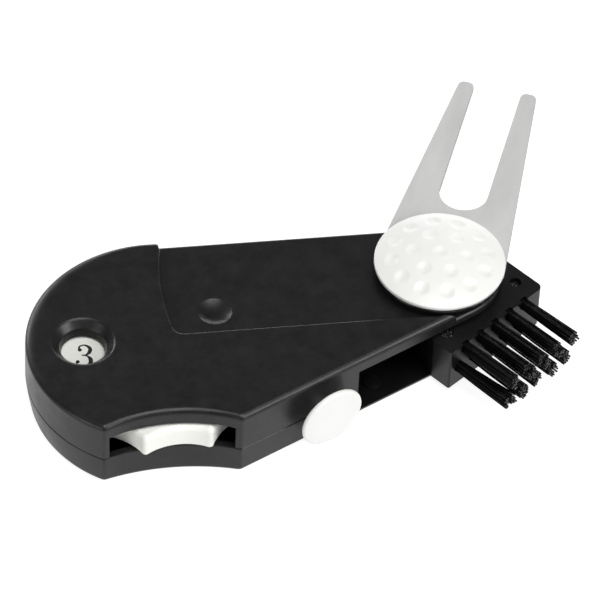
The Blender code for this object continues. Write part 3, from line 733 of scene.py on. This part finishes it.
BLACK = black_plastic()
# The brush's own darker plastic, also used as painted shade inside the case.
BRUSH_BLACK_AND_INSIDE_SHADE = black_plastic("brush_plastic_and_inside_shade", 0.004, 0.3)
GLOSS_BLACK = gloss_black_plastic()
WHITE = white_plastic("white_plastic", (0.81, 0.81, 0.79), (0.765, 0.765, 0.74))
BUTTON_WHITE = white_plastic("button_plastic", (0.775, 0.775, 0.76), (0.75, 0.75, 0.73))
DIAL_WHITE = white_plastic("dial_plastic", (0.84, 0.84, 0.80), (0.79, 0.79, 0.74), 0.34, 0.46)
STEEL = satin_steel()
FORK_SIDE_SHADE = punched_edge()
PLATED = plated_steel()
SPRING = plated_steel("spring_steel", (0.48, 0.48, 0.50))
NICKEL = plated_steel("nickel", (0.6, 0.58, 0.54))
NYLON = natural_nylon()
BRISTLE = bristle_nylon()
CUT_END = cut_nylon()
INK = printing_ink()


# ======== case


def rim_steps(radius, steps=6):
    """Inset and height along a quarter round, from the wall to the flat."""
    turns = [pi / 2 * i / steps for i in range(steps + 1)]
    return [(radius * (1 - cos(turn)), radius * sin(turn)) for turn in turns]


def shell_solid(name, levels):
    """A solid of the case's outline through (inset, height, end inset) levels from low to high.

    The scallop is deeper at the top than at the bottom, as the finger comes from above.
    """
    rings = []
    for inset, z, end_inset in levels:
        depth = SCALLOP_DEPTH + SCALLOP_DEEPER * (2 * z / HEIGHT - 1)
        rings.append(level(case_outline(inset, True, end_inset, depth), z))
    return loft(name, rings)


def button_hole():
    hole = rod("cut_button_hole", (0, 0), STEM_R + 0.15, -2.5, 4.0, 40)
    move(to_near_wall(BUTTON_Z) @ Matrix.Rotation(radians(-90), 4, "X"), hole)
    return hole


def to_near_wall(height=0.0):
    """From the origin to the button's place on the near wall: +X along the wall, +Y into the case."""
    foot = by_near_wall(NOSE_R, -BUTTON_ALONG)
    return Matrix.Translation((foot.x, foot.y, height)) @ Matrix.Rotation(radians(TAPER), 4, "Z")


def side_places():
    return PIVOT + mirrored(SIDE_POST), PIVOT + SIDE_POST


def side_posts(radius, low, high):
    return [rod(f"add_post_{k}", place, radius, low, high) for k, place in enumerate(side_places())]


def shared_holes():
    """The holes that both shells have, for the rivet, the button's stem and the screws."""
    holes = [rod("cut_rivet", PIVOT, RIVET_HOLE_R, -1.0, 20.0), button_hole()]
    for k, centre in enumerate((WHEEL, *side_places())):
        holes.append(rod(f"cut_head_{k}", centre, SCREW_HEAD_HOLE_R, -1.0, 2.4, 40))
        holes.append(rod(f"cut_shank_{k}", centre, SCREW_SHANK_HOLE_R, 1.0, 12.8, 24))
    return holes


def is_inside(point):
    """Whether a point, seen from above, is within the inner side of the case's walls."""
    centre, radius = scallop_circle(SCALLOP_DEPTH)
    if (point - centre).length < radius + WALL - 0.1:
        return False
    if point.x < WHEEL.x:
        return (point - WHEEL).length < END_R - WALL + 0.1
    if point.x > PIVOT.x:
        return (point - PIVOT).length < NOSE_R - WALL + 0.1
    return (Vector((point.x, -abs(point.y))) - PIVOT).dot(OUTWARD) < NOSE_R - WALL + 0.1


def darken_inside(shell):
    """Paints shade on the bottom shell's inner faces with the deeper black."""
    mesh = shell.data
    mesh.materials.append(BRUSH_BLACK_AND_INSIDE_SHADE)
    # Painted shade: the faces inside the walls, seen through the bay, get the darker black.
    for face in mesh.polygons:
        centre = face.center / MM
        if FLOOR - 0.01 < centre.z < SPLIT - 0.02 and face.normal.z > -0.5 and is_inside(centre.to_2d()):
            face.material_index = 1


def make_case_bottom():
    levels = []
    for inset, z in reversed(rim_steps(BOTTOM_ROUND)):
        levels.append((inset, BOTTOM_ROUND - z, END_DRAFT + END_SWELL * inset))
    for z in (1.9, 3.2, 4.6):
        levels.append((0.0, z, END_DRAFT * ((SPLIT - z) / (SPLIT - BOTTOM_ROUND)) ** 1.3))
    levels += [(0.0, SPLIT - SPLIT_ROUND, 0.0), (SPLIT_ROUND, SPLIT, 0.0)]
    shell = shell_solid("case_bottom", levels)
    cut(
        shell,
        prism("cut_cavity", case_outline(WALL), FLOOR, SPLIT + 2.0),
        prism("cut_bay", bay_outline(), FLOOR, ROOF),
    )
    bay_mark = [(0.0, POST_FOOT), (1.75, POST_FOOT), (1.7, FLOOR + 0.3), (0.0, FLOOR + 0.36)]
    join(
        shell,
        rod("add_axle_shelf", WHEEL, AXLE_SHELF_R, POST_FOOT, box_mm("counter_wheel")[0].z - 0.2),
        rod("add_axle_post", WHEEL, AXLE_R, 0.7, 9.6),
        rod("add_rivet_boss", PIVOT, RIVET_BOSS_R, POST_FOOT, 2.0),
        *side_posts(LOWER_POST_R, POST_FOOT, SPLIT),
        turned("add_bay_mark", bay_mark, BAY_MARK, 48),
    )
    cut(shell, rod("cut_rivet_head", PIVOT, RIVET_HEAD_HOLE_R, -1.0, 1.0, 64), *shared_holes())
    clean(shell)
    round_edges(shell, EDGE_ROUND)
    dress(shell, BLACK, "black_plastic", "case", "bottom_shell")
    darken_inside(shell)
    return shell


def window_cutter():
    """A flared opening whose lip rolls over into the top face."""
    lip, over = 0.45, 0.6
    slope = Vector((WINDOW_RIM_R - WINDOW_THROAT_R, HEIGHT - RECESS))
    rim = Vector((WINDOW_RIM_R, HEIGHT))
    throat = soften([(WINDOW_BORE_R, ROOF), (WINDOW_THROAT_R, RECESS), rim], [0.0, 0.2, 0.0], 4)
    start = rim - slope.normalized() * lip
    end = rim + Vector((lip, 0.0))
    profile = [(0.0, ROOF - 2.0), (WINDOW_BORE_R, ROOF - 2.0), *throat[:-1], start]
    profile += corner_curve(start, rim, end, 6)
    profile += [end, (end.x + 0.4, HEIGHT + over), (0.0, HEIGHT + over)]
    return turned("cut_window", profile, WINDOW, 96)


def nail_dimple_cutter():
    """A round dent, flat in the middle and steep at its lip."""
    profile = []
    for i in range(17):
        share = i / 16
        rise = NAIL_DIMPLE_DEPTH * share**NAIL_DIMPLE_CURVE
        profile.append((NAIL_DIMPLE_R * share, RECESS - NAIL_DIMPLE_DEPTH + rise))
    profile += [(NAIL_DIMPLE_R + 0.3, RECESS + 0.02), (0.0, RECESS + 0.3)]
    return turned("cut_nail_dimple", profile, NAIL_DIMPLE, 64)


def recess_cutter():
    """The recess, with a floor that rolls over into the far wall."""
    cutter = prism("cut_recess", recess_outline(), RECESS - 2.5, HEIGHT + 3.0)
    proud = -0.02
    round_low = RECESS - RECESS_FAR_ROUND
    levels = [(proud, RECESS - 4.0, 0.0)]
    levels += [(proud + inset, round_low + z, 0.0) for inset, z in rim_steps(RECESS_FAR_ROUND)]
    cut(cutter, shell_solid("keep_recess_floor", levels))
    return cutter


def round_recess_lip(shell):
    build = bmesh.new()
    build.from_mesh(shell.data)
    lip = []
    for edge in build.edges:
        high = all(abs(v.co.z - HEIGHT * MM) < 0.000005 for v in edge.verts)
        if high and len(edge.link_faces) == 2 and min(abs(f.normal.z) for f in edge.link_faces) < 0.1:
            lip.append(edge)
    bmesh.ops.bevel(build, geom=lip, offset=RECESS_LIP * MM, segments=4, profile=0.5, affect="EDGES")
    build.to_mesh(shell.data)
    build.free()


def make_case_top():
    levels = [(SPLIT_ROUND, TOP_LOW, 0.0), (0.0, TOP_LOW + SPLIT_ROUND, 0.0)]
    levels += [(inset, HEIGHT - TOP_ROUND + z, END_SWELL * inset) for inset, z in rim_steps(TOP_ROUND, 10)]
    shell = shell_solid("case_top", levels)
    cut(shell, recess_cutter())
    clean(shell)
    round_recess_lip(shell)
    cut(
        shell,
        prism("cut_cavity", case_outline(WALL, scalloped=False), TOP_LOW - 2.0, ROOF),
        prism("cut_bay", bay_outline(), FLOOR, ROOF),
        prism("cut_thumb_slot", slot_outline(), TOP_LOW - 1.0, ROOF - 0.1),
    )
    boss = rod("add_axle_boss", WHEEL, AXLE_R - 0.1, 9.7, POST_HEAD)
    join(shell, boss, *side_posts(UPPER_POST_R, TOP_LOW, POST_HEAD))
    cut(shell, rod("cut_washer_seat", PIVOT, WASHER_SEAT_R, WASHER_SEAT, 16.0, 64), *shared_holes())
    clean(shell)
    round_edges(shell, EDGE_ROUND)
    cut(shell, window_cutter(), nail_dimple_cutter())
    return dress(shell, BLACK, "black_plastic", "case", "top_shell")


def make_rivet():
    low, high = box_mm("pivot_rivet")
    shank_r, head_r, foot_r = 2.0, 3.9, 3.6
    head_low, foot_high = 14.65, 0.85
    profile = [(0.0, high.z), (head_r, high.z), (head_r, head_low), (shank_r, head_low)]
    profile += [(shank_r, foot_high), (foot_r, foot_high), (foot_r, low.z), (0.0, low.z)]
    profile = soften(profile, [0.0, 0.35, 0.1, 0.0, 0.1, 0.1, 0.5, 0.0])
    dent = [(1.1, low.z), (0.8, low.z + 0.3), (0.0, low.z + 0.4)]
    rivet = turned("rivet", profile[:-1] + dent, PIVOT)
    return dress(rivet, PLATED, "plated_steel", "case", "pivot_rivet")


def make_screw(node):
    """A pan head screw with a cross recess, seen on the underside."""
    low, high = box_mm(node)
    centre = middle(node)
    head_r, shank_r = (high.x - low.x) / 2, 1.0
    head_top = 2.0
    profile = [(0.0, high.z), (shank_r / 2, high.z), (shank_r, high.z - 1.2), (shank_r, head_top)]
    profile += [(head_r, head_top), (head_r, low.z + 0.1), (head_r * 0.55, low.z), (0.0, low.z)]
    profile = soften(profile, [0.0, 0.1, 0.1, 0.0, 0.1, 0.4, 0.4, 0.0], 4)
    screw = turned(node + "_piece", profile, centre, 64)
    for label, x, y, depth in (("slot", 1.3, 0.24, 0.85), ("cross", 0.24, 1.3, 0.8)):
        corners = [Vector(p) for p in ((x, y), (-x, y), (-x, -y), (x, -y))]
        steps = ((1.15, -0.2), (1.0, 0.05), (0.55, depth))
        rings = [level([centre + p * share for p in corners], low.z + z) for share, z in steps]
        cut(screw, loft(f"cut_{label}", rings))
    return dress(screw, PLATED, "plated_steel", "case", node)


# ======== counter wheel

# Each digit's strokes as (x, y, half width) points in hundredths of its width; it is 160 tall.
DIGIT_STROKES = {
    "0": [
        [(50, 155, 4.5), (17, 125, 8.5), (8, 80, 12), (17, 33, 8.5), (50, 4, 4.5), (83, 33, 8.5),
         (92, 80, 12), (83, 125, 8.5), (50, 155, 4.5)],
    ],
    "1": [
        [(22, 132, 3.5), (40, 142, 5), (54, 156, 7)],
        [(52, 150, 11.5), (52, 6, 11.5)],
        [(24, 4, 4), (80, 4, 4)],
    ],
    "2": [
        [(16, 122, 7), (22, 146, 6), (50, 156, 5), (82, 136, 10), (80, 102, 12), (45, 58, 8), (12, 14, 6)],
        [(10, 11, 11), (60, 10, 12), (92, 24, 5)],
    ],
    "3": [
        [(17, 124, 6), (20, 145, 5), (47, 156, 5), (77, 136, 10), (77, 108, 11), (60, 88, 5),
         (36, 84, 3.5)],
        [(36, 84, 3.5), (66, 80, 5), (88, 56, 12), (84, 24, 11), (50, 3, 5), (18, 12, 4.5), (12, 34, 6)],
    ],
    "4": [
        [(70, 156, 5), (8, 48, 4.5)],
        [(6, 47, 5), (96, 47, 5)],
        [(68, 154, 11.5), (68, 4, 11.5)],
    ],
    "5": [
        [(24, 150, 7), (60, 148, 11), (86, 152, 5)],
        [(25, 152, 4), (20, 86, 3.5)],
        [(20, 86, 3.5), (50, 98, 5), (86, 74, 12), (84, 28, 11), (48, 3, 5), (17, 14, 4.5), (14, 32, 6)],
    ],
    "6": [
        [(84, 142, 6), (60, 156, 5), (24, 122, 9), (12, 64, 12), (24, 16, 9), (52, 3, 4.5), (84, 26, 10),
         (84, 66, 10), (54, 90, 5), (22, 70, 4)],
    ],
    "7": [
        [(10, 146, 10), (90, 150, 9)],
        [(88, 148, 5), (50, 80, 9), (38, 5, 12)],
    ],
    "8": [
        [(50, 156, 4.5), (20, 134, 9), (32, 100, 8), (72, 68, 9), (88, 36, 10), (50, 3, 5), (12, 36, 10),
         (34, 74, 5), (74, 102, 6), (80, 134, 8), (50, 156, 4.5)],
    ],
    "9": [
        [(16, 16, 6), (40, 2, 5), (76, 36, 9), (88, 94, 12), (76, 142, 9), (48, 156, 4.5), (16, 132, 10),
         (16, 92, 10), (46, 68, 5), (78, 88, 4)],
    ],
}
DIGIT_BALLS = {
    "2": [(22, 118, 13)],
    "3": [(22, 120, 11.5), (17, 36, 11)],
    "5": [(19, 34, 13)],
    "6": [(80, 136, 12)],
    "9": [(20, 22, 12)],
}


def smooth_path(points, steps=8):
    """Catmull-Rom points through a stroke's points."""
    knots = [Vector(p) / 100 for p in points]
    if len(knots) == 2:
        return knots
    closed = (knots[0] - knots[-1]).length < 1e-6
    ends = (knots[-2], knots[1]) if closed else (knots[0] * 2 - knots[1], knots[-1] * 2 - knots[-2])
    padded = [ends[0], *knots, ends[1]]
    path = []
    for a, b, c, d in zip(padded, padded[1:], padded[2:], padded[3:]):
        for i in range(steps):
            t = i / steps
            curve = (a * 2 - b * 5 + c * 4 - d) * t**2 + (b * 3 - a - c * 3 + d) * t**3
            path.append((b * 2 + (c - a) * t + curve) / 2)
    return [*path, knots[-1]]


def digit_faces(text):
    """Flat ribbons and round ends of a number, centred, one unit tall: points and faces."""
    points, faces = [], []
    scale = 1 / 1.6
    width = 1.0 if len(text) == 1 else 1.75
    for k, figure in enumerate(text):
        shift = Vector((k * 0.88 - width / 2, -0.8))
        for stroke in DIGIT_STROKES[figure]:
            path = smooth_path(stroke)
            start = len(points)
            for i, knot in enumerate(path):
                heading = (path[min(i + 1, len(path) - 1)] - path[max(i - 1, 0)]).to_2d().normalized()
                side = Vector((-heading.y, heading.x)) * knot.z
                points += [(knot.to_2d() + side + shift) * scale, (knot.to_2d() - side + shift) * scale]
            for i in range(len(path) - 1):
                a = start + 2 * i
                faces.append((a, a + 1, a + 3, a + 2))
        for x, y, radius in DIGIT_BALLS.get(figure, []):
            start = len(points)
            points += [(p / 100 + shift) * scale for p in arc((x, y), radius, 0.0, 345.0, 23)]
            faces.append(tuple(range(start, start + 24)))
    return points, faces


def make_digits(top):
    """The numbers printed round the dial, each upright to someone who looks across the case."""
    points, faces = [], []
    step = 360.0 / WHEEL_POSITIONS
    for number in range(WHEEL_POSITIONS):
        turn = WINDOW_ANGLE + DIGIT_TURN + (number - DIGIT_SHOWN) * step
        flat, quads = digit_faces(str(number))
        place = polar(WHEEL, DIGIT_RADIUS, turn)
        facing = radians(turn - WINDOW_ANGLE - DIGIT_TURN + VIEW_AZIMUTH + 90.0)
        width = DIGIT_WIDTH if number < 10 else PAIR_WIDTH
        start = len(points)
        for p in flat:
            spot = place + Matrix.Rotation(facing, 2) @ Vector((p.x * width, p.y * DIGIT_HEIGHT))
            points.append((*spot, top))
        faces += [tuple(start + i for i in face) for face in quads]
    mesh = open_mesh("dial_numbers", points, faces)
    numbers = new_piece("dial_numbers", mesh)
    mesh.materials.append(INK)
    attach(numbers, "wheel")
    return numbers


def make_dial():
    low, high = box_mm("counter_wheel")
    levels = [(inset, low.z + 0.5 - z) for inset, z in reversed(rim_steps(0.5, 4))]
    levels += [(inset, high.z - WHEEL_EDGE + z) for inset, z in rim_steps(WHEEL_EDGE, 7)]
    dial = loft("dial", [level(wheel_outline(inset), z) for inset, z in levels])
    cut(dial, rod("cut_bore", WHEEL, AXLE_R + 0.06, 0.0, 20.0, 64))
    clean(dial)
    dress(dial, DIAL_WHITE, "white_plastic", "wheel", "counter_wheel", sharp=50.0)
    make_digits(high.z + 0.02)
    return dial


# ======== fork, holder and marker


def to_pivot(angle):
    """From the origin to the rivet, with +X turned by an angle."""
    return Matrix.Translation((*PIVOT, 0.0)) @ Matrix.Rotation(radians(angle), 4, "Z")


def make_fork():
    low, high = box_mm("fork")
    edge = 0.18
    levels = [(edge, low.z), (0.05, low.z + 0.05), (0.0, low.z + edge)]
    levels += [(0.0, high.z - edge), (0.05, high.z - 0.05), (edge, high.z)]
    fork = loft("fork_plate", [level(fork_outline(inset), z) for inset, z in levels])
    cut(fork, rod("cut_bore", (0, 0), PIVOT_BORE_R, 0.0, 20.0, 48))
    clean(fork)
    move(to_pivot(FORK_ANGLE), fork)
    dress(fork, STEEL, "satin_steel", "fork_set", "fork")
    # The plate's sides get the darker finish as painted shade.
    fork.data.materials.append(FORK_SIDE_SHADE)
    for face in fork.data.polygons:
        if abs(face.normal.z) < 0.5:
            face.material_index = 1
    return fork


def make_holder():
    low, high = box_mm("marker_holder")
    radius = (high.x - low.x) / 2
    flange_top, neck_r = 15.2, 6.2
    magnet_r, magnet_low = 4.3, 15.6
    under_r, under_top = 4.4, 15.3
    profile = [(0.0, magnet_low), (magnet_r, magnet_low), (magnet_r, high.z), (neck_r, high.z)]
    profile += [(neck_r, flange_top), (radius, flange_top), (radius, low.z)]
    profile += [(under_r, low.z), (under_r, under_top), (0.0, under_top)]
    profile = soften(profile, [0.0, 0.0, 0.1, 0.2, 0.15, 0.22, 0.15, 0.1, 0.1, 0.0])
    holder = turned("marker_seat", profile, PIVOT, 128)
    return dress(holder, GLOSS_BLACK, "black_plastic", "fork_set", "marker_holder")


def dimple_centres():
    """One dimple in the middle and rings of them round it."""
    centres = [PIVOT.copy()]
    for radius, count, first_turn in DIMPLE_RINGS:
        centres += [polar(PIVOT, radius, 360.0 / count * k + first_turn) for k in range(count)]
    return centres


def make_marker():
    """A domed marker with shallow round dimples, as on a golf ball."""
    low, high = box_mm("ball_marker")
    radius = (high.x - low.x) / 2
    edge_r = radius - 0.25
    rise = high.z - MARKER_EDGE - 0.02
    sphere_r = (edge_r**2 + rise**2) / (2 * rise)
    dimples = dimple_centres()
    socket_r, socket_top = 6.6, 17.1
    rings_count, steps = 96, 256

    def dome(x, y):
        r = hypot(x - PIVOT.x, y - PIVOT.y)
        z = MARKER_EDGE + rise - sphere_r + sqrt(sphere_r**2 - r * r)
        for centre in dimples:
            s = hypot(x - centre.x, y - centre.y) / DIMPLE_R
            if s < 1:
                z -= DIMPLE_DEPTH * (1 - s * s) ** 1.6
        return z

    def ring_at(r):
        return [polar(PIVOT, r, 360.0 * i / steps) for i in range(steps)]

    underside = [
        (0.02, socket_top),
        (socket_r - 0.1, socket_top),
        (socket_r, socket_top - 0.1),
        (socket_r, low.z + 0.1),
        (socket_r + 0.15, low.z),
        (radius - 0.25, low.z),
        (radius - 0.06, low.z + 0.08),
        (radius, low.z + 0.25),
    ]
    rim = [(radius - inset, MARKER_EDGE - z) for inset, z in ((0.0, 0.35), (0.03, 0.16), (0.1, 0.04))]
    rings = [level(ring_at(r), z) for r, z in underside + rim]
    for r in [edge_r * (1 - k / rings_count) for k in range(rings_count)] + [0.02]:
        rings.append([(*p, dome(*p)) for p in ring_at(r)])
    marker = loft("marker_dome", rings)
    return dress(marker, WHITE, "white_plastic", "marker", "ball_marker", sharp=60.0)


# ======== brush


def tuft_places():
    for row, (height, shift) in TUFT_ROWS.items():
        for k in range(TUFTS_PER_ROW):
            side = shift + (k - (TUFTS_PER_ROW - 1) / 2) * TUFT_PITCH
            yield f"tuft_{row}_{k + 1}", height, side


def lay_along_x(height, side):
    """From upright on the origin to along +X of the brush at a height and side."""
    return Matrix.Translation((0.0, side, height)) @ Matrix.Rotation(radians(90), 4, "Y")


def make_brush_block():
    low, high = box_mm("brush_arm")
    block = prism("brush_block", brush_outline(), low.z, high.z)
    cutters = [
        rod("cut_bore", (0, 0), PIVOT_BORE_R, 0.0, 20.0),
        rod("cut_boss", (0, 0), 5.4, 0.0, 2.3, 64),
        rod("cut_dot", (11.0, 0.8), 0.35, high.z - 0.12, 13.0, 24),
    ]
    for side in STAKE_SIDES:
        cutters.append(rod("cut_stake", (STAKE_DEPTH, side), STAKE_R + 0.05, 5.9, 13.0, 32))
    for name, height, side in tuft_places():
        hole = rod("cut_" + name, (0, 0), TUFT_HOLE_R, BRUSH_FACE - TUFT_HOLE_DEPTH, BRUSH_FACE + 1.0, 32)
        move(lay_along_x(height, side), hole)
        cutters.append(hole)
        if "upper" in name:
            notch = rod("cut_notch_" + name, (0, 0), 0.8, BRUSH_FACE - 0.5, BRUSH_FACE + 1.0, 32)
            move(lay_along_x(height + 0.9, side), notch)
            cutters.append(notch)
    cut(block, *cutters)
    clean(block)
    round_edges(block, 0.14)
    move(to_pivot(BRUSH_ANGLE), block)
    return dress(block, BRUSH_BLACK_AND_INSIDE_SHADE, "black_plastic", "brush", "brush_arm")


def add_strand(build, path, radius, sides=6):
    """A tube along a path of points; its end face gets the second material."""
    rings = []
    for i, point in enumerate(path):
        heading = (path[min(i + 1, len(path) - 1)] - path[max(i - 1, 0)]).normalized()
        across = heading.cross(Vector((0, 0, 1))).normalized()
        above = across.cross(heading)
        ring = []
        for s in range(sides):
            turn = 2 * pi * s / sides
            ring.append(build.verts.new((point + (across * cos(turn) + above * sin(turn)) * radius) * MM))
        rings.append(ring)
    for a, b in zip(rings, rings[1:]):
        for s in range(sides):
            build.faces.new((a[s], a[(s + 1) % sides], b[(s + 1) % sides], b[s])).smooth = True
    build.faces.new(list(reversed(rings[0])))
    build.faces.new(rings[-1]).material_index = 1


def make_tuft(name, height, side):
    """Stiff strands that leave one hole, spread a little and end unevenly."""
    build = bmesh.new()
    golden = pi * (3 - sqrt(5))
    clumps = []
    for _ in range(3):
        clumps.append((RANDOM.uniform(0, 2 * pi), RANDOM.uniform(0.05, 0.2), RANDOM.uniform(-0.9, 0.0)))
    clumps[0] = (clumps[0][0], clumps[0][1], 0.0)
    root = BRUSH_FACE - TUFT_HOLE_DEPTH + 0.4
    for k in range(STRANDS):
        ring_r = sqrt((k + 0.5) / STRANDS)
        turn = k * golden
        direction = Vector((0.0, cos(turn), sin(turn)))
        clump = min(clumps, key=lambda c: 1 - cos(turn - c[0]))
        pull = Vector((0.0, cos(clump[0]), sin(clump[0]))) * clump[1]
        drift = Vector((0.0, RANDOM.uniform(-0.1, 0.1), RANDOM.uniform(-0.1, 0.1)))
        if name == SPLAYED_TUFT and direction.y > 0.1:
            drift.y += 0.7
        bow = RANDOM.uniform(-0.1, 0.1)
        slant = 0.45 * (1 + direction.z * ring_r)
        end = TUFT_END - 0.15 + clump[2] + RANDOM.uniform(-0.3, 0.0) - slant
        path = []
        for i in range(7):
            t = i / 6
            spread = 0.9 + 0.2 * min(t * 2.0, 1.0) + 0.1 * t
            offset = direction * ring_r * spread + (pull + drift) * t**1.6
            offset += Vector((0.0, 0.0, bow)) * sin(pi * t)
            path.append(Vector((root + (end - root) * t, side, height)) + offset)
        add_strand(build, path, STRAND_R * RANDOM.uniform(0.92, 1.04))
    bmesh.ops.recalc_face_normals(build, faces=build.faces)
    mesh = bpy.data.meshes.new(name)
    build.to_mesh(mesh)
    build.free()
    tuft = new_piece("bristles_" + name[5:], mesh)
    move(to_pivot(BRUSH_ANGLE), tuft)
    mesh.materials.append(BRISTLE)
    mesh.materials.append(CUT_END)
    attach(tuft, "brush")
    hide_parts(name)
    return tuft


def make_stake(node, side, sunk):
    """A bristle plug's pin with a rough torn top, driven below the surface by sunk."""
    top = box_mm(node)[1].z - sunk
    profile = [(0.0, 6.0), (STAKE_R - 0.1, 6.0), (STAKE_R, 6.3), (STAKE_R, top - 0.25)]
    profile += [(STAKE_R * share, top - 0.12) for share in (0.92, 0.72, 0.5, 0.28)]
    pin = turned(node + "_piece", [*profile, (0.0, top - 0.15)], (STAKE_DEPTH, side), 12)
    for vertex in pin.data.vertices:
        if vertex.co.z > (top - 0.2) * MM:
            vertex.co.z += RANDOM.uniform(-0.3, 0.12) * MM
    move(to_pivot(BRUSH_ANGLE), pin)
    return dress(pin, BRUSH_BLACK_AND_INSIDE_SHADE, "black_plastic", "brush", node, sharp=12.0)


# ======== button


def make_button():
    """A thin round cap that leans down a little, on a stem that is square to the wall."""
    half = BUTTON_THICK / 2
    cap_profile = [
        (0.0, half),
        (BUTTON_R * 0.5, half - 0.03),
        (BUTTON_R - 0.3, half - 0.2),
        (BUTTON_R, half - 0.5),
        (BUTTON_R, -half + 0.2),
        (BUTTON_R - 0.25, -half),
        (0.0, -half),
    ]
    cap = turned("button", soften(cap_profile, [0.0, 1.5, 0.35, 0.3, 0.15, 0.15, 0.0]), steps=128)
    stem_top = BUTTON_STANDOFF + half
    stem_profile = [(0.0, stem_top), (STEM_R, stem_top), (STEM_R, 0.2 - STEM_INSIDE)]
    stem_profile += [(STEM_R - 0.2, -STEM_INSIDE), (0.0, -STEM_INSIDE)]
    stem = turned("add_stem", stem_profile, steps=48)
    lean = Matrix.Rotation(radians(90 + BUTTON_LEAN), 4, "X")
    move(to_near_wall(BUTTON_Z) @ Matrix.Translation((0.0, -stem_top, 0.0)) @ lean, cap)
    move(to_near_wall(BUTTON_Z) @ Matrix.Rotation(radians(90), 4, "X"), stem)
    join(cap, stem)
    return dress(cap, BUTTON_WHITE, "white_plastic", "button", "release_button")


# ======== stage


def repaint(node, finish):
    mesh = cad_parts[node].data
    mesh.materials.clear()
    mesh.materials.append(finish)


def make_floor():
    size = 3000.0
    corners = [(-size, -size, 0), (size, -size, 0), (size, size, 0), (-size, size, 0)]
    mesh = open_mesh("floor", corners, [(0, 1, 2, 3)])
    floor = new_piece("floor", mesh)
    floor.location.z = -0.0001
    nodes = Nodes("floor", (0.3, 0.3, 0.3), 0.9)
    nodes.set("Specular IOR Level", 0.0)
    nodes.set("Emission Color", (1.0, 1.0, 1.0, 1.0))
    nodes.set("Emission Strength", 0.88)
    mesh.materials.append(nodes.material)


def soft_box(name, place, width, height, power):
    data = bpy.data.lights.new(name, "AREA")
    data.shape = "RECTANGLE"
    data.size = width * MM
    data.size_y = height * MM
    data.energy = power
    light = new_piece(name, data)
    light.location = Vector(place) * MM
    light.rotation_euler = (LIGHT_AIM - Vector(place)).to_track_quat("-Z", "Y").to_euler()


def make_light():
    world = bpy.data.worlds.new("studio")
    world.use_nodes = True
    background = world.node_tree.nodes["Background"]
    background.inputs["Color"].default_value = (1.0, 1.0, 1.0, 1.0)
    background.inputs["Strength"].default_value = 0.18
    bpy.context.scene.world = world
    for name, box in SOFT_BOXES.items():
        soft_box(name, *box)
    bpy.context.scene.view_settings.view_transform = "Standard"


def make_camera():
    data = bpy.data.cameras.new("camera")
    data.sensor_width = 36.0
    data.lens = VIEW_LENS
    camera = new_piece("camera", data)
    turn = (
        Matrix.Rotation(radians(VIEW_AZIMUTH + 90.0), 4, "Z")
        @ Matrix.Rotation(radians(90.0 - VIEW_ELEVATION), 4, "X")
        @ Matrix.Rotation(radians(VIEW_ROLL), 4, "Z")
    )
    back = turn.to_3x3() @ Vector((0.0, 0.0, 1.0))
    camera.matrix_world = Matrix.Translation((VIEW_TARGET + back * VIEW_DISTANCE) * MM) @ turn
    bpy.context.scene.camera = camera


def build():
    make_case_bottom()
    make_case_top()
    make_rivet()
    for node in ("axle_screw", "case_screw_near", "case_screw_far"):
        make_screw(node)
    make_dial()
    make_fork()
    make_holder()
    make_marker()
    make_brush_block()
    for name, height, side in tuft_places():
        make_tuft(name, height, side)
    make_stake("brush_stake_pin_1", STAKE_SIDES[0], 0.0)
    make_stake("brush_stake_pin_2", STAKE_SIDES[1], 0.5)
    make_button()
    for node in ("wave_washer", "click_spring", "latch_spring"):
        repaint(node, SPRING)
    repaint("marker_magnet", NICKEL)
    repaint("marker_steel_disc", PLATED)
    repaint("brush_washer", NYLON)
    repaint("latch_slide", BLACK)
    make_floor()
    make_light()
    make_camera()


build()
